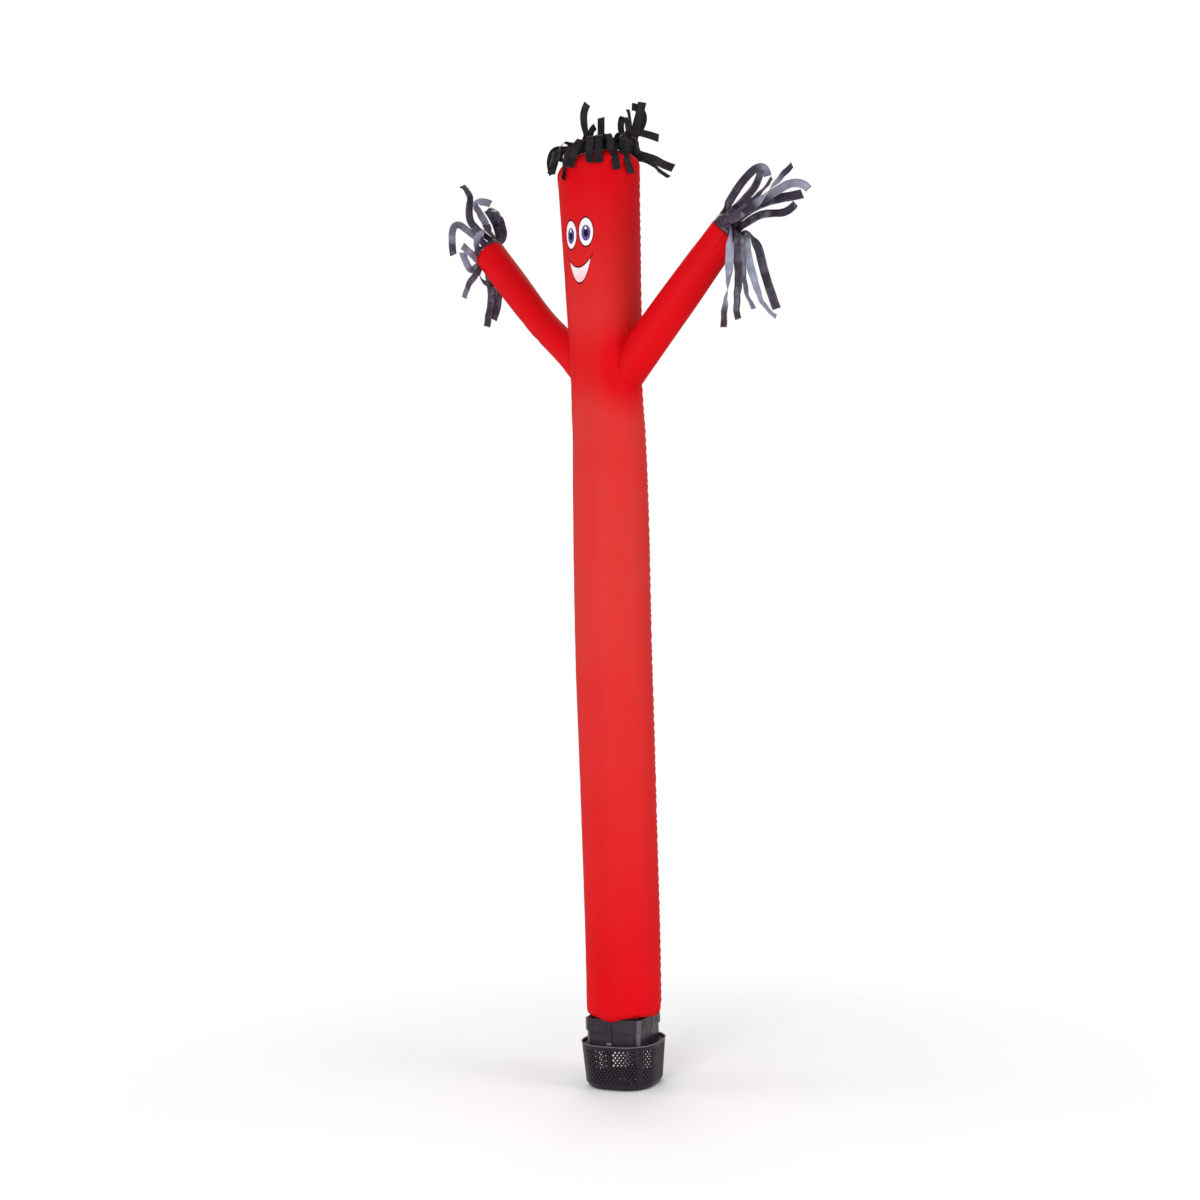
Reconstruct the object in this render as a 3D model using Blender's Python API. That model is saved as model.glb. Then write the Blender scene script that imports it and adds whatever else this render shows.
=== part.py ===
# Inflatable air dancer: a red nylon tube man, blown up and standing on its black blower.
# Metres, +Z up. The origin is the middle of the blower's flat underside, and the face looks to -Y.
import math

import bmesh
import bpy
from mathutils import Matrix, Vector

for old in list(bpy.data.objects):
    bpy.data.objects.remove(old, do_unlink=True)

CLOTH = 0.002  # thickness of every cloth
SEAM_GAP = 0.0003  # clearance between pieces that touch
LEAN_AZIMUTH = math.radians(35)  # the body leans a little along this heading from +X

BODY_SIDES = 36
# height, radius, sway along the lean: the hem tucked up round the neck, the cuff, the shaft
# and the head
BODY_RINGS = (
    (0.2440, 0.0953, 0.000),
    (0.2365, 0.0954, 0.000),
    (0.2337, 0.0985, 0.000),
    (0.2335, 0.1065, 0.000),
    (0.2410, 0.1165, 0.001),
    (0.2520, 0.1225, 0.003),
    (0.2800, 0.1245, 0.005),
    (0.6000, 0.1252, 0.007),
    (1.0000, 0.1262, 0.006),
    (1.4000, 0.1280, 0.004),
    (1.7000, 0.1280, 0.006),
    (1.9800, 0.1255, 0.009),
    (2.1600, 0.1215, 0.010),
    (2.3000, 0.1185, 0.007),
    (2.4500, 0.1215, 0.007),
    (2.6000, 0.1250, 0.005),
    (2.7800, 0.1300, 0.003),
    (2.9200, 0.1340, 0.001),
)
CROWN_RADIUS = 0.138
CROWN_STEPS = (1.0, 0.95, 0.84, 0.70, 0.45, 0.2)  # rings of the crown, as shares of its radius
CROWN_SEAM = 3.035  # mean height of the crown's seam
CROWN_RISE = 0.060
CROWN_TILT = 0.015
CROWN_LUMP = (0.050, 0.012, 0.035)  # distance off centre, height and spread of the soft lump

SLEEVE_SIDES = 20
SLEEVE_HOLE = 0.9  # share of a sleeve's root radius that is open into the body
# along the sleeve from the body's axis, radius, sag across it
RIGHT_SLEEVE = (
    (0.060, 0.0680, 0.000),
    (0.180, 0.0660, 0.000),
    (0.400, 0.0620, 0.000),
    (0.600, 0.0570, 0.000),
    (0.6863, 0.0530, 0.000),
)
LEFT_SLEEVE = (
    (0.060, 0.0580, 0.000),
    (0.200, 0.0530, 0.002),
    (0.380, 0.0510, 0.013),
    (0.580, 0.0545, 0.006),
    (0.7179, 0.0555, 0.000),
)
SLEEVES = {
    # side of the body, height where its line meets the body's axis, slope in degrees, rings
    "right": (1, 2.2723, 44.6, RIGHT_SLEEVE),
    "left": (-1, 2.2980, 48.9, LEFT_SLEEVE),
}

FRINGE_BAND = 0.014  # height of the uncut band above each fringe's roots
HAIR_RADIUS = 0.095
HAIR_BAND = 0.022
HAIR_FLARE = 0.35  # how far the hair's roots lean outwards
HAIR_GAP = 0.001  # clearance between the hair's band and the crown
STRIP_COLUMNS = ("angle", "width", "length", "turn1", "rise1", "turn2", "rise2", "turn3", "rise3",
                 "twist")
HAND_BENDS = (0.0, 0.14, 0.5, 1.0)  # where along a hand's strip its three headings are reached
HAIR_BENDS = (0.0, 1 / 3, 2 / 3, 1.0)
# one row a strip, its root's angle and its headings in degrees, its size in millimetres
HAIR_STRIPS = (
    (9, 24, 154, 99, 52, -118, 74, 6, 65, 0),
    (35, 36, 141, -59, -24, 125, -69, 150, -80, -2),
    (60, 24, 141, -59, -64, 42, -78, 55, -86, -20),
    (80, 24, 146, -56, -77, 2, -64, 99, -66, -13),
    (100, 24, 159, -93, 50, 94, 31, -173, -77, 0),
    (117, 24, 169, 84, 62, 8, 79, 3, 70, 45),
    (134, 24, 185, 63, -50, 37, -10, 46, -32, 18),
    (151, 16, 181, 58, -50, 40, -24, 53, -49, -42),
    (168, 24, 178, -7, 52, 41, 4, 47, -40, 25),
    (185, 24, 225, 19, 24, -2, 66, -130, 37, 115),
    (203, 16, 206, 23, 42, 16, 48, -114, 58, 12),
    (221, 24, 158, -5, 62, -15, 81, -61, 67, -46),
    (239, 24, 135, -19, 47, 74, 85, 11, 56, 98),
    (257, 18, 125, 45, 50, 15, 77, -136, 35, 116),
    (275, 24, 120, 62, 42, -171, 53, -178, -26, 92),
    (293, 16, 155, 126, 61, -144, -77, 132, -65, 2),
    (311, 24, 154, 166, 24, -140, -70, 62, -59, 6),
    (331, 24, 152, -80, -30, -171, -58, -131, -68, -62),
    (349, 24, 152, -60, -66, -168, -53, 84, -78, 0),
)
RIGHT_STRIPS = (
    (0, 24, 304, 82, 41, 28, 51, 117, -20, 11),
    (30, 24, 290, 37, 15, 43, 64, 110, -10, -14),
    (60, 24, 279, 10, -12, 36, 54, 111, 24, 10),
    (90, 24, 343, -26, -16, 33, 45, 83, 41, 32),
    (120, 24, 348, -98, -58, 129, -77, 166, -72, -44),
    (150, 24, 320, -83, -56, 135, -89, 99, -89, -8),
    (180, 24, 280, -74, -61, 105, -66, 49, -71, 34),
    (210, 24, 322, -74, -72, 104, -73, 26, -42, -2),
    (240, 24, 305, 51, -66, 82, -62, 109, -36, 1),
    (270, 24, 291, -7, 18, 77, 9, 102, 41, 0),
    (300, 24, 281, 94, 32, 17, 10, 71, 14, -8),
    (330, 24, 334, -6, 2, 12, 29, 106, -6, -4),
)
LEFT_STRIPS = (
    (0, 24, 284, -122, 63, 140, 43, -33, -37, 25),
    (30, 24, 282, -99, 24, -116, 89, 146, -3, 103),
    (60, 24, 301, -144, 50, -74, -30, 111, -11, 92),
    (90, 24, 240, 115, 64, -28, -14, -68, -36, 120),
    (120, 24, 186, 177, 24, -38, -10, -55, -16, -51),
    (150, 24, 243, 152, -58, -49, -9, -174, -72, -72),
    (180, 24, 204, 120, -43, -94, 44, 122, -20, 21),
    (210, 24, 302, 116, -37, -42, -49, -94, -74, -110),
    (240, 24, 287, 104, -33, -55, -81, 141, -54, -89),
    (270, 24, 278, 66, -32, 89, -87, -92, -58, 4),
    (300, 24, 246, 81, 37, -147, 61, 162, 13, 112),
    (330, 24, 284, 70, 47, -161, 37, 141, 16, -107),
)

BLOWER_YAW = math.radians(12.5)
BASKET_COLUMNS = 32  # even number of gaps round the basket, eight on each side
BASKET_ROWS = 8  # half steps of the net, up the wall
NET_LOW, NET_HIGH = 0.018, 0.138
GAP_SHARE = 0.62  # size of a gap within its diamond
BASKET_WALL = 0.003
BASKET_FLOOR = 0.0035
CORNER_SHARE = 0.77  # corner radius as a share of the half-width
BASKET_PROFILE = ((0.0, 0.104), (0.004, 0.1105), (0.018, 0.1190), (0.138, 0.1292), (0.150, 0.1300))
INTAKE_OUT, INTAKE_IN = 0.64, 0.28  # the floor's ring of intake slots, as shares of its size

DECK_LEVEL, DECK_THICK, DECK_HOLE = 0.1397, 0.0034, 0.070
HOUSING_FOOT, HOUSING_LEDGE, HOUSING_TOP, NECK_TOP = 0.140, 0.190, 0.231, 0.275
HOUSING_WALL = 0.003
TIER_CORNER, TIER_SIDE = 0.138, 0.103  # upper tier, out to its corners and to its sides' middles
TIER_STEP = 0.006
NECK_RADIUS = 0.0945
TAB_SIZE = (0.016, 0.004, 0.007)
GLAND_RADIUS, GLAND_BORE, GLAND_LENGTH, GLAND_LEVEL = 0.009, 0.004, 0.012, 0.165


def material(name, colour, roughness, metallic=0.0):
    made = bpy.data.materials.new(name)
    made.use_nodes = True
    shader = made.node_tree.nodes["Principled BSDF"]
    shader.inputs["Base Color"].default_value = (*colour, 1.0)
    shader.inputs["Roughness"].default_value = roughness
    shader.inputs["Metallic"].default_value = metallic
    return made


RED_NYLON = material("red_nylon", (0.62, 0.004, 0.010), 0.5)
BLACK_NYLON = material("black_nylon", (0.020, 0.016, 0.024), 0.5)
BLACK_PLASTIC = material("black_plastic", (0.022, 0.021, 0.024), 0.45)
GREY_PLASTIC = material("grey_plastic", (0.16, 0.14, 0.16), 0.5)


def node(name, mesh, look, smooth=40):
    """A scene object from a bmesh, its faces turned outwards."""
    bmesh.ops.recalc_face_normals(mesh, faces=mesh.faces)
    data = bpy.data.meshes.new(name)
    mesh.to_mesh(data)
    mesh.free()
    data.materials.append(look)
    if smooth:
        data.shade_smooth()
        data.set_sharp_from_angle(angle=math.radians(smooth))
    made = bpy.data.objects.new(name, data)
    bpy.context.scene.collection.objects.link(made)
    return made


def cutter(name, mesh):
    made = node(name, mesh, RED_NYLON, smooth=0)
    made.hide_render = True
    made.display_type = "WIRE"
    return made


def cut(target, tool):
    step = target.modifiers.new("cut_" + tool.name, "BOOLEAN")
    step.operation = "DIFFERENCE"
    step.solver = "EXACT"
    step.object = tool


def thicken(target, thickness):
    step = target.modifiers.new("thickness", "SOLIDIFY")
    step.thickness = thickness
    step.offset = -1.0


def join_rings(mesh, rings, closed=False):
    """Quads between neighbouring rings of vertices, and from the last ring to the first."""
    pairs = list(zip(rings, rings[1:]))
    if closed:
        pairs.append((rings[-1], rings[0]))
    for low, high in pairs:
        count = len(low)
        for i in range(count):
            j = (i + 1) % count
            mesh.faces.new((low[i], low[j], high[j], high[i]))


def fan(mesh, ring, point):
    middle = mesh.verts.new(point)
    for i in range(len(ring)):
        mesh.faces.new((ring[i], ring[(i + 1) % len(ring)], middle))


def between(table, key, column):
    """The value in a column of a table at a key, straight between rows."""
    for low, high in zip(table, table[1:]):
        if key <= high[0]:
            share = (key - low[0]) / (high[0] - low[0])
            return low[column] + (high[column] - low[column]) * share
    return table[-1][column]


# --- body -------------------------------------------------------------------------------------

LEAN = Vector((math.cos(LEAN_AZIMUTH), math.sin(LEAN_AZIMUTH), 0.0))
ACROSS = Vector((-LEAN.y, LEAN.x, 0.0))


def crown_height(x, y):
    """The crown's height at a point: a shallow dome, tilted, with a soft lump off centre."""
    along = x * LEAN.x + y * LEAN.y
    aside = x * ACROSS.x + y * ACROSS.y
    share = min(1.0, (x * x + y * y) / CROWN_RADIUS**2)
    off, lump, spread = CROWN_LUMP
    lift = lump * math.exp(-((along + off) ** 2 + aside**2) / (2 * spread**2))
    return (CROWN_SEAM + CROWN_TILT * along / CROWN_RADIUS
            + CROWN_RISE * math.sqrt(1.0 - share) + lift * (1.0 - share))


def circle(mesh, height, radius, sway=0.0, sides=BODY_SIDES):
    turns = [2 * math.pi * i / sides for i in range(sides)]
    return [mesh.verts.new((radius * math.cos(t) + LEAN.x * sway,
                            radius * math.sin(t) + LEAN.y * sway, height)) for t in turns]


def body():
    mesh = bmesh.new()
    rings = [circle(mesh, *row) for row in BODY_RINGS]
    for share in CROWN_STEPS:
        ring = circle(mesh, 0.0, CROWN_RADIUS * share)
        for vert in ring:
            vert.co.z = crown_height(vert.co.x, vert.co.y)
        rings.append(ring)
    join_rings(mesh, rings)
    fan(mesh, rings[-1], (0.0, 0.0, crown_height(0.0, 0.0)))
    made = node("tube_body", mesh, RED_NYLON)
    thicken(made, CLOTH)
    return made


def body_envelope(low, high):
    """A closed solid a seam's gap larger than the body, between two of its rings."""
    mesh = bmesh.new()
    rings = [circle(mesh, z, r + SEAM_GAP, s) for z, r, s in BODY_RINGS if low <= z <= high]
    join_rings(mesh, rings)
    mesh.faces.new(rings[0])
    mesh.faces.new(rings[-1])
    return cutter("body_envelope", mesh)


# --- sleeves ----------------------------------------------------------------------------------

def sleeve_frame(side):
    """A sleeve's start, its direction, the way up across it and the way to the front."""
    sign, height, slope, _ = SLEEVES[side]
    tilt = math.radians(slope)
    along = Vector((sign * math.cos(tilt), 0.0, math.sin(tilt)))
    up = Vector((-sign * math.sin(tilt), 0.0, math.cos(tilt)))
    return Vector((0.0, 0.0, height)), along, up, Vector((0.0, -1.0, 0.0))


def sleeve_ring(mesh, side, distance, radius, sag):
    start, along, up, front = sleeve_frame(side)
    middle = start + along * distance - up * sag
    turns = [2 * math.pi * i / SLEEVE_SIDES for i in range(SLEEVE_SIDES)]
    return [mesh.verts.new(middle + (up * math.cos(t) + front * math.sin(t)) * radius)
            for t in turns]


def sleeve(side, envelope):
    mesh = bmesh.new()
    join_rings(mesh, [sleeve_ring(mesh, side, *row) for row in SLEEVES[side][3]])
    made = node("arm_" + side, mesh, RED_NYLON)
    thicken(made, CLOTH)
    cut(made, envelope)
    return made


def sleeve_hole(side):
    """The closed plug that opens the body's wall into a sleeve."""
    rows = SLEEVES[side][3]
    mesh = bmesh.new()
    radius = rows[0][1] * SLEEVE_HOLE
    rings = [sleeve_ring(mesh, side, distance, radius, 0.0) for distance in (0.05, 0.28)]
    join_rings(mesh, rings)
    mesh.faces.new(rings[0])
    mesh.faces.new(rings[1])
    return cutter("hole_" + side, mesh)


# --- fringes ----------------------------------------------------------------------------------

def heading(turn, rise):
    turn, rise = math.radians(turn), math.radians(rise)
    return Vector((math.cos(rise) * math.cos(turn), math.cos(rise) * math.sin(turn),
                   math.sin(rise)))


def blend_heading(way, bends, share):
    for k in range(3):
        if share <= bends[k + 1] or k == 2:
            weight = (share - bends[k]) / (bends[k + 1] - bends[k])
            return (way[k] * (1 - weight) + way[k + 1] * weight).normalized()


def strip(mesh, root, away, row, bends, steps):
    """A flat strip grown from four root vertices, which are the end of its band's wall."""
    row = dict(zip(STRIP_COLUMNS, row))
    corners = [vert.co.copy() for vert in root]
    place = sum(corners, Vector()) / 4
    wide = (corners[1] + corners[2] - corners[0] - corners[3]).normalized()
    thick = (corners[0] + corners[1] - corners[2] - corners[3]).normalized()
    way = [away] + [heading(row[f"turn{k}"], row[f"rise{k}"]) for k in (1, 2, 3)]
    hand = 1 if wide.cross(away).dot(thick) > 0 else -1
    width, length = row["width"] / 1000, row["length"] / 1000
    twist = math.radians(row["twist"]) / steps
    sections = [root]
    for i in range(steps):
        place = place + blend_heading(way, bends, (i + 0.5) / steps) * (length / steps)
        ahead = blend_heading(way, bends, (i + 1.0) / steps)
        wide = (wide - ahead * wide.dot(ahead)).normalized()
        wide = Matrix.Rotation(twist, 3, ahead) @ wide
        thick = wide.cross(ahead) * hand
        side, face = wide * width / 2, thick * CLOTH / 2
        sections.append([mesh.verts.new(place + move) for move in
                         (face - side, face + side, side - face, -side - face)])
    for low, high in zip(sections, sections[1:]):
        # the two wide sides share their diagonal, so a twist can't push one through the other
        mesh.faces.new((low[0], low[1], high[1]))
        mesh.faces.new((low[0], high[1], high[0]))
        mesh.faces.new((low[1], low[2], high[2], high[1]))
        mesh.faces.new((low[2], low[3], high[2]))
        mesh.faces.new((low[3], high[3], high[2]))
        mesh.faces.new((low[3], low[0], high[0], high[3]))
    mesh.faces.new(sections[-1])


def fringe(name, strips, bends, steps, wall_foot, wall_top, away):
    """A band with strips grown from its edge. wall_foot and wall_top place a point of the band's
    wall from its angle and its depth in the wall, and away is the strips' heading at an angle."""
    mesh = bmesh.new()
    table = [dict(zip(STRIP_COLUMNS, row)) for row in strips]
    radius = wall_top(0.0, 0.0)[1]
    edges = []
    for row in table:
        half = math.degrees(math.asin(min(0.99, row["width"] / 2000 / radius)))
        edges += [row["angle"] - half, row["angle"] + half]
    columns = []
    for angle in edges:
        spots = [wall_foot(angle, 0.0), wall_top(angle, 0.0)[0], wall_top(angle, CLOTH)[0],
                 wall_foot(angle, CLOTH)]
        columns.append([mesh.verts.new(spot) for spot in spots])
    for k, column in enumerate(columns):
        after = columns[(k + 1) % len(columns)]
        for i in (0, 2, 3):
            j = (i + 1) % 4
            mesh.faces.new((column[i], after[i], after[j], column[j]))
        if k % 2:
            mesh.faces.new((column[1], after[1], after[2], column[2]))
        else:
            root = [column[1], after[1], after[2], column[2]]
            strip(mesh, root, away(strips[k // 2][0]), strips[k // 2], bends, steps)
    return node(name, mesh, BLACK_NYLON, smooth=50)


def hair():
    def spot(angle, depth, lift):
        turn = math.radians(angle)
        radius = HAIR_RADIUS - depth + lift * HAIR_FLARE
        x, y = radius * math.sin(turn), -radius * math.cos(turn)
        return Vector((x, y, crown_height(x, y) + HAIR_GAP + lift))

    def away(angle):
        turn = math.radians(angle)
        return Vector((HAIR_FLARE * math.sin(turn), -HAIR_FLARE * math.cos(turn), 1)).normalized()

    return fringe("hair_fringe", HAIR_STRIPS, HAIR_BENDS, 7, lambda a, d: spot(a, d, 0.0),
                  lambda a, d: (spot(a, d, HAIR_BAND), HAIR_RADIUS), away)


def hand(side, strips):
    start, along, up, front = sleeve_frame(side)
    reach, radius, _ = SLEEVES[side][3][-1]

    def spot(angle, depth, lift):
        turn = math.radians(angle)
        arm = up * math.cos(turn) + front * math.sin(turn)
        return start + along * (reach + SEAM_GAP + lift) + arm * (radius - depth)

    return fringe("streamers_" + side, strips, HAND_BENDS, 10, lambda a, d: spot(a, d, 0.0),
                  lambda a, d: (spot(a, d, FRINGE_BAND), radius), lambda a: along)


# --- blower -----------------------------------------------------------------------------------

def square_round(share, half, corner):
    """A point at a share of the way round a rounded square, from the middle of its front."""
    straight = half - corner
    arc = math.pi / 2 * corner
    side = 2 * straight + arc
    quarter, run = divmod((share % 1.0) * 4 * side, side)
    if run <= straight:
        x, y = run, -half
    elif run < straight + arc:
        turn = (run - straight) / corner
        x, y = straight + corner * math.sin(turn), -straight - corner * math.cos(turn)
    else:
        x, y = half, -straight + (run - straight - arc)
    for _ in range(int(quarter) % 4):
        x, y = -y, x
    return x, y


def basket_point(step, level, inset):
    half = between(BASKET_PROFILE, level, 1)
    corner = half * CORNER_SHARE
    x, y = square_round(step / (2 * BASKET_COLUMNS), half - inset, corner - inset)
    return Vector((x, y, level))


def net_level(row):
    return NET_LOW + (NET_HIGH - NET_LOW) * row / BASKET_ROWS


def is_rib(step):
    """Whether a diamond belongs to the solid rib at a corner."""
    side = BASKET_COLUMNS // 2
    return abs((step - side // 2) % side) in (0, 1, side - 1)


def basket():
    mesh = bmesh.new()
    steps = 2 * BASKET_COLUMNS
    grid = {}
    for inset in (0.0, BASKET_WALL):
        for row in range(BASKET_ROWS + 1):
            for step in range(row % 2, steps, 2):
                spot = basket_point(step, net_level(row), inset)
                grid[inset, step, row] = mesh.verts.new(spot)

    def at(inset, step, row):
        return grid[inset, step % steps, row]

    for row in range(BASKET_ROWS + 1):
        for step in range(1 - row % 2, steps, 2):
            gaps = []
            for inset in (0.0, BASKET_WALL):
                around = [at(inset, step - 1, row), at(inset, step + 1, row)]
                if row > 0:
                    around.insert(1, at(inset, step, row - 1))
                if row < BASKET_ROWS:
                    around.append(at(inset, step, row + 1))
                if len(around) == 3 or is_rib(step):
                    mesh.faces.new(around)
                    continue
                s = GAP_SHARE
                shape = ((-s, 0), (0, -s), (s, 0), (0, s))
                gap = [mesh.verts.new(basket_point(step + dx, net_level(row + dy), inset))
                       for dx, dy in shape]
                around = [at(inset, step - 1, row), at(inset, step, row - 1),
                          at(inset, step + 1, row), at(inset, step, row + 1)]
                join_rings(mesh, [around, gap])
                gaps.append(gap)
            if gaps:
                join_rings(mesh, gaps)

    def ring(level, inset, share=1.0, offset=0):
        spots = [basket_point(2 * k + offset, level, inset) for k in range(BASKET_COLUMNS)]
        return [mesh.verts.new((p.x * share, p.y * share, level)) for p in spots]

    top_out, top_in = ([at(i, 2 * k, BASKET_ROWS) for k in range(BASKET_COLUMNS)]
                       for i in (0.0, BASKET_WALL))
    low_out, low_in = ([at(i, 2 * k, 0) for k in range(BASKET_COLUMNS)]
                       for i in (0.0, BASKET_WALL))
    rim = BASKET_PROFILE[-1][0]
    join_rings(mesh, [top_out, ring(rim, 0.0), ring(rim, BASKET_WALL), top_in])
    foot = ring(0.0, 0.0)
    join_rings(mesh, [low_out, ring(BASKET_PROFILE[1][0], 0.0), foot])
    floor = ring(BASKET_FLOOR, BASKET_WALL)
    join_rings(mesh, [low_in, floor])
    under = [foot] + [ring(0.0, 0.0, share) for share in (INTAKE_OUT, INTAKE_IN)]
    over = [floor] + [ring(BASKET_FLOOR, 0.0, share) for share in (INTAKE_OUT, INTAKE_IN)]
    for layer, level in ((under, 0.0), (over, BASKET_FLOOR)):
        join_rings(mesh, layer[:2])
        for k in range(1, BASKET_COLUMNS, 2):
            j = (k + 1) % BASKET_COLUMNS
            mesh.faces.new((layer[1][k], layer[1][j], layer[2][j], layer[2][k]))
        fan(mesh, layer[2], (0.0, 0.0, level))
    for k in range(0, BASKET_COLUMNS, 2):
        low = [under[1][k], under[1][k + 1], under[2][k + 1], under[2][k]]
        high = [over[1][k], over[1][k + 1], over[2][k + 1], over[2][k]]
        join_rings(mesh, [low, high])
    return node("blower_basket", mesh, BLACK_PLASTIC, smooth=30)


def housing_ring(mesh, level, corner, side):
    """A ring of the eight-sided housing: its corners stand further out than its sides' middles."""
    posts = []
    for k in range(8):
        turn = math.radians(45 * k)
        reach = corner if k % 2 else side
        posts.append(Vector((reach * math.sin(turn), -reach * math.cos(turn), level)))
    verts = []
    for k in range(8):
        for i in range(4):
            verts.append(mesh.verts.new(posts[k].lerp(posts[(k + 1) % 8], i / 4)))
    return verts


def round_ring(mesh, level, radius, sides=32):
    turns = [2 * math.pi * i / sides for i in range(sides)]
    return [mesh.verts.new((radius * math.sin(t), -radius * math.cos(t), level)) for t in turns]


def housing():
    mesh = bmesh.new()
    corner, side, wall, step = TIER_CORNER, TIER_SIDE, HOUSING_WALL, TIER_STEP
    under = HOUSING_LEDGE + wall
    rings = [
        housing_ring(mesh, HOUSING_FOOT, corner - step, side - step),
        housing_ring(mesh, HOUSING_LEDGE, corner - step, side - step),
        housing_ring(mesh, HOUSING_LEDGE, corner, side),
        housing_ring(mesh, HOUSING_TOP, corner, side),
        round_ring(mesh, HOUSING_TOP, NECK_RADIUS),
        round_ring(mesh, NECK_TOP, NECK_RADIUS),
        round_ring(mesh, NECK_TOP, NECK_RADIUS - wall),
        round_ring(mesh, HOUSING_TOP - wall, NECK_RADIUS - wall),
        housing_ring(mesh, HOUSING_TOP - wall, corner - wall, side - wall),
        housing_ring(mesh, under, corner - wall, side - wall),
        housing_ring(mesh, under, corner - step - wall, side - step - wall),
        housing_ring(mesh, HOUSING_FOOT, corner - step - wall, side - step - wall),
    ]
    join_rings(mesh, rings, closed=True)
    return node("blower_collar", mesh, BLACK_PLASTIC, smooth=30)


def deck():
    mesh = bmesh.new()
    low, high = DECK_LEVEL - DECK_THICK, DECK_LEVEL
    rings = []
    for level in (low, high):
        spots = [basket_point(2 * k, low, BASKET_WALL + SEAM_GAP) for k in range(BASKET_COLUMNS)]
        rings.append([mesh.verts.new((p.x, p.y, level)) for p in spots])
    rings.append(round_ring(mesh, high, DECK_HOLE, BASKET_COLUMNS))
    rings.append(round_ring(mesh, low, DECK_HOLE, BASKET_COLUMNS))
    join_rings(mesh, rings, closed=True)
    return node("blower_deck", mesh, BLACK_PLASTIC, smooth=30)


def facet_point(turn_side, share, level):
    """A point on the housing's lower tier, along the facet on one side of its front edge."""
    corner, side = TIER_CORNER - TIER_STEP, TIER_SIDE - TIER_STEP
    start = Vector((0.0, -side, level))
    end = Vector((turn_side, -1.0, 0.0)).normalized() * corner + Vector((0.0, 0.0, level))
    return start.lerp(end, share), (end - start).normalized()


def tab():
    mesh = bmesh.new()
    wide, deep, high = TAB_SIZE
    middle, along = facet_point(-1.0, 0.12, HOUSING_FOOT + 0.010)
    out = Vector((-along.y, along.x, 0.0))
    out = out if out.y < 0 else -out
    bmesh.ops.create_cube(mesh, size=1.0)
    for vert in mesh.verts:
        x, y, z = vert.co
        vert.co = middle + along * x * wide + out * (SEAM_GAP + deep * (y + 0.5))
        vert.co.z += z * high
    return node("latch_tab", mesh, GREY_PLASTIC, smooth=0)


def gland():
    mesh = bmesh.new()
    middle, along = facet_point(1.0, 0.45, GLAND_LEVEL)
    middle.y, along.y = -middle.y, -along.y
    out = Vector((along.y, along.x, 0.0))
    out = out if out.y > 0 else -out
    up = Vector((0.0, 0.0, 1.0))
    rings = []
    for reach, radius in ((0.0, GLAND_RADIUS), (GLAND_LENGTH, GLAND_RADIUS * 0.85),
                          (GLAND_LENGTH, GLAND_BORE), (0.0, GLAND_BORE)):
        turns = [2 * math.pi * i / 16 for i in range(16)]
        rings.append([mesh.verts.new(middle + out * (2 * SEAM_GAP + reach)
                                     + (along * math.cos(t) + up * math.sin(t)) * radius)
                      for t in turns])
    join_rings(mesh, rings, closed=True)
    return node("cord_gland", mesh, BLACK_PLASTIC, smooth=30)


# --- assembly ---------------------------------------------------------------------------------

tube = body()
shoulders = body_envelope(2.1, 2.93)
for flank in ("right", "left"):
    sleeve(flank, shoulders)
    cut(tube, sleeve_hole(flank))
hair()
hand("right", RIGHT_STRIPS)
hand("left", LEFT_STRIPS)

turned = Matrix.Rotation(BLOWER_YAW, 4, "Z")
for piece in (basket(), deck(), housing(), tab(), gland()):
    piece.data.transform(turned)
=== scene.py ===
import math

import bmesh
import bpy
from mathutils import Matrix, Vector, noise


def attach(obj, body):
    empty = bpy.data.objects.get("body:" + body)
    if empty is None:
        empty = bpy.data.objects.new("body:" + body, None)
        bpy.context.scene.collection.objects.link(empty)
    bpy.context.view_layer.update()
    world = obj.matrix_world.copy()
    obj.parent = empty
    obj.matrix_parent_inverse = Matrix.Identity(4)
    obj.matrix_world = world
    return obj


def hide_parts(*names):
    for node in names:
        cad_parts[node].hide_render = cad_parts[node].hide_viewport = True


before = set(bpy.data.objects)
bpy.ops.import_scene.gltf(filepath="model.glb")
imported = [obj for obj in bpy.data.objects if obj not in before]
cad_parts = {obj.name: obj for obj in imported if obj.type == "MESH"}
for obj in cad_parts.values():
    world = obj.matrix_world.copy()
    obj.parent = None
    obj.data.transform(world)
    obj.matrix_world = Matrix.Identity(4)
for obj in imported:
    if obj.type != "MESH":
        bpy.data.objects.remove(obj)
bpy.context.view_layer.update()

lean = Vector((math.cos(math.radians(35)), math.sin(math.radians(35)), 0.0))
aside = Vector((-lean.y, lean.x, 0.0))


class Field:
    # a value in a material's graph that can be used in sums
    def __init__(self, graph, socket):
        self.graph, self.socket = graph, socket

    def maths(self, operation, *others):
        return self.graph.node("ShaderNodeMath", {"operation": operation}, [self, *others])

    def __add__(self, other):
        return self.maths("ADD", other)

    __radd__ = __add__

    def __sub__(self, other):
        return self.maths("SUBTRACT", other)

    def __rsub__(self, other):
        return self.graph.node("ShaderNodeMath", {"operation": "SUBTRACT"}, [other, self])

    def __mul__(self, other):
        return self.maths("MULTIPLY", other)

    __rmul__ = __mul__

    def __truediv__(self, other):
        return self.maths("DIVIDE", other)

    def __pow__(self, other):
        return self.maths("POWER", other)

    def clamped(self):
        return self.graph.node("ShaderNodeClamp", {}, [self, 0.0, 1.0])

    def least(self, other):
        return self.maths("MINIMUM", other)

    def most(self, other):
        return self.maths("MAXIMUM", other)


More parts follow.
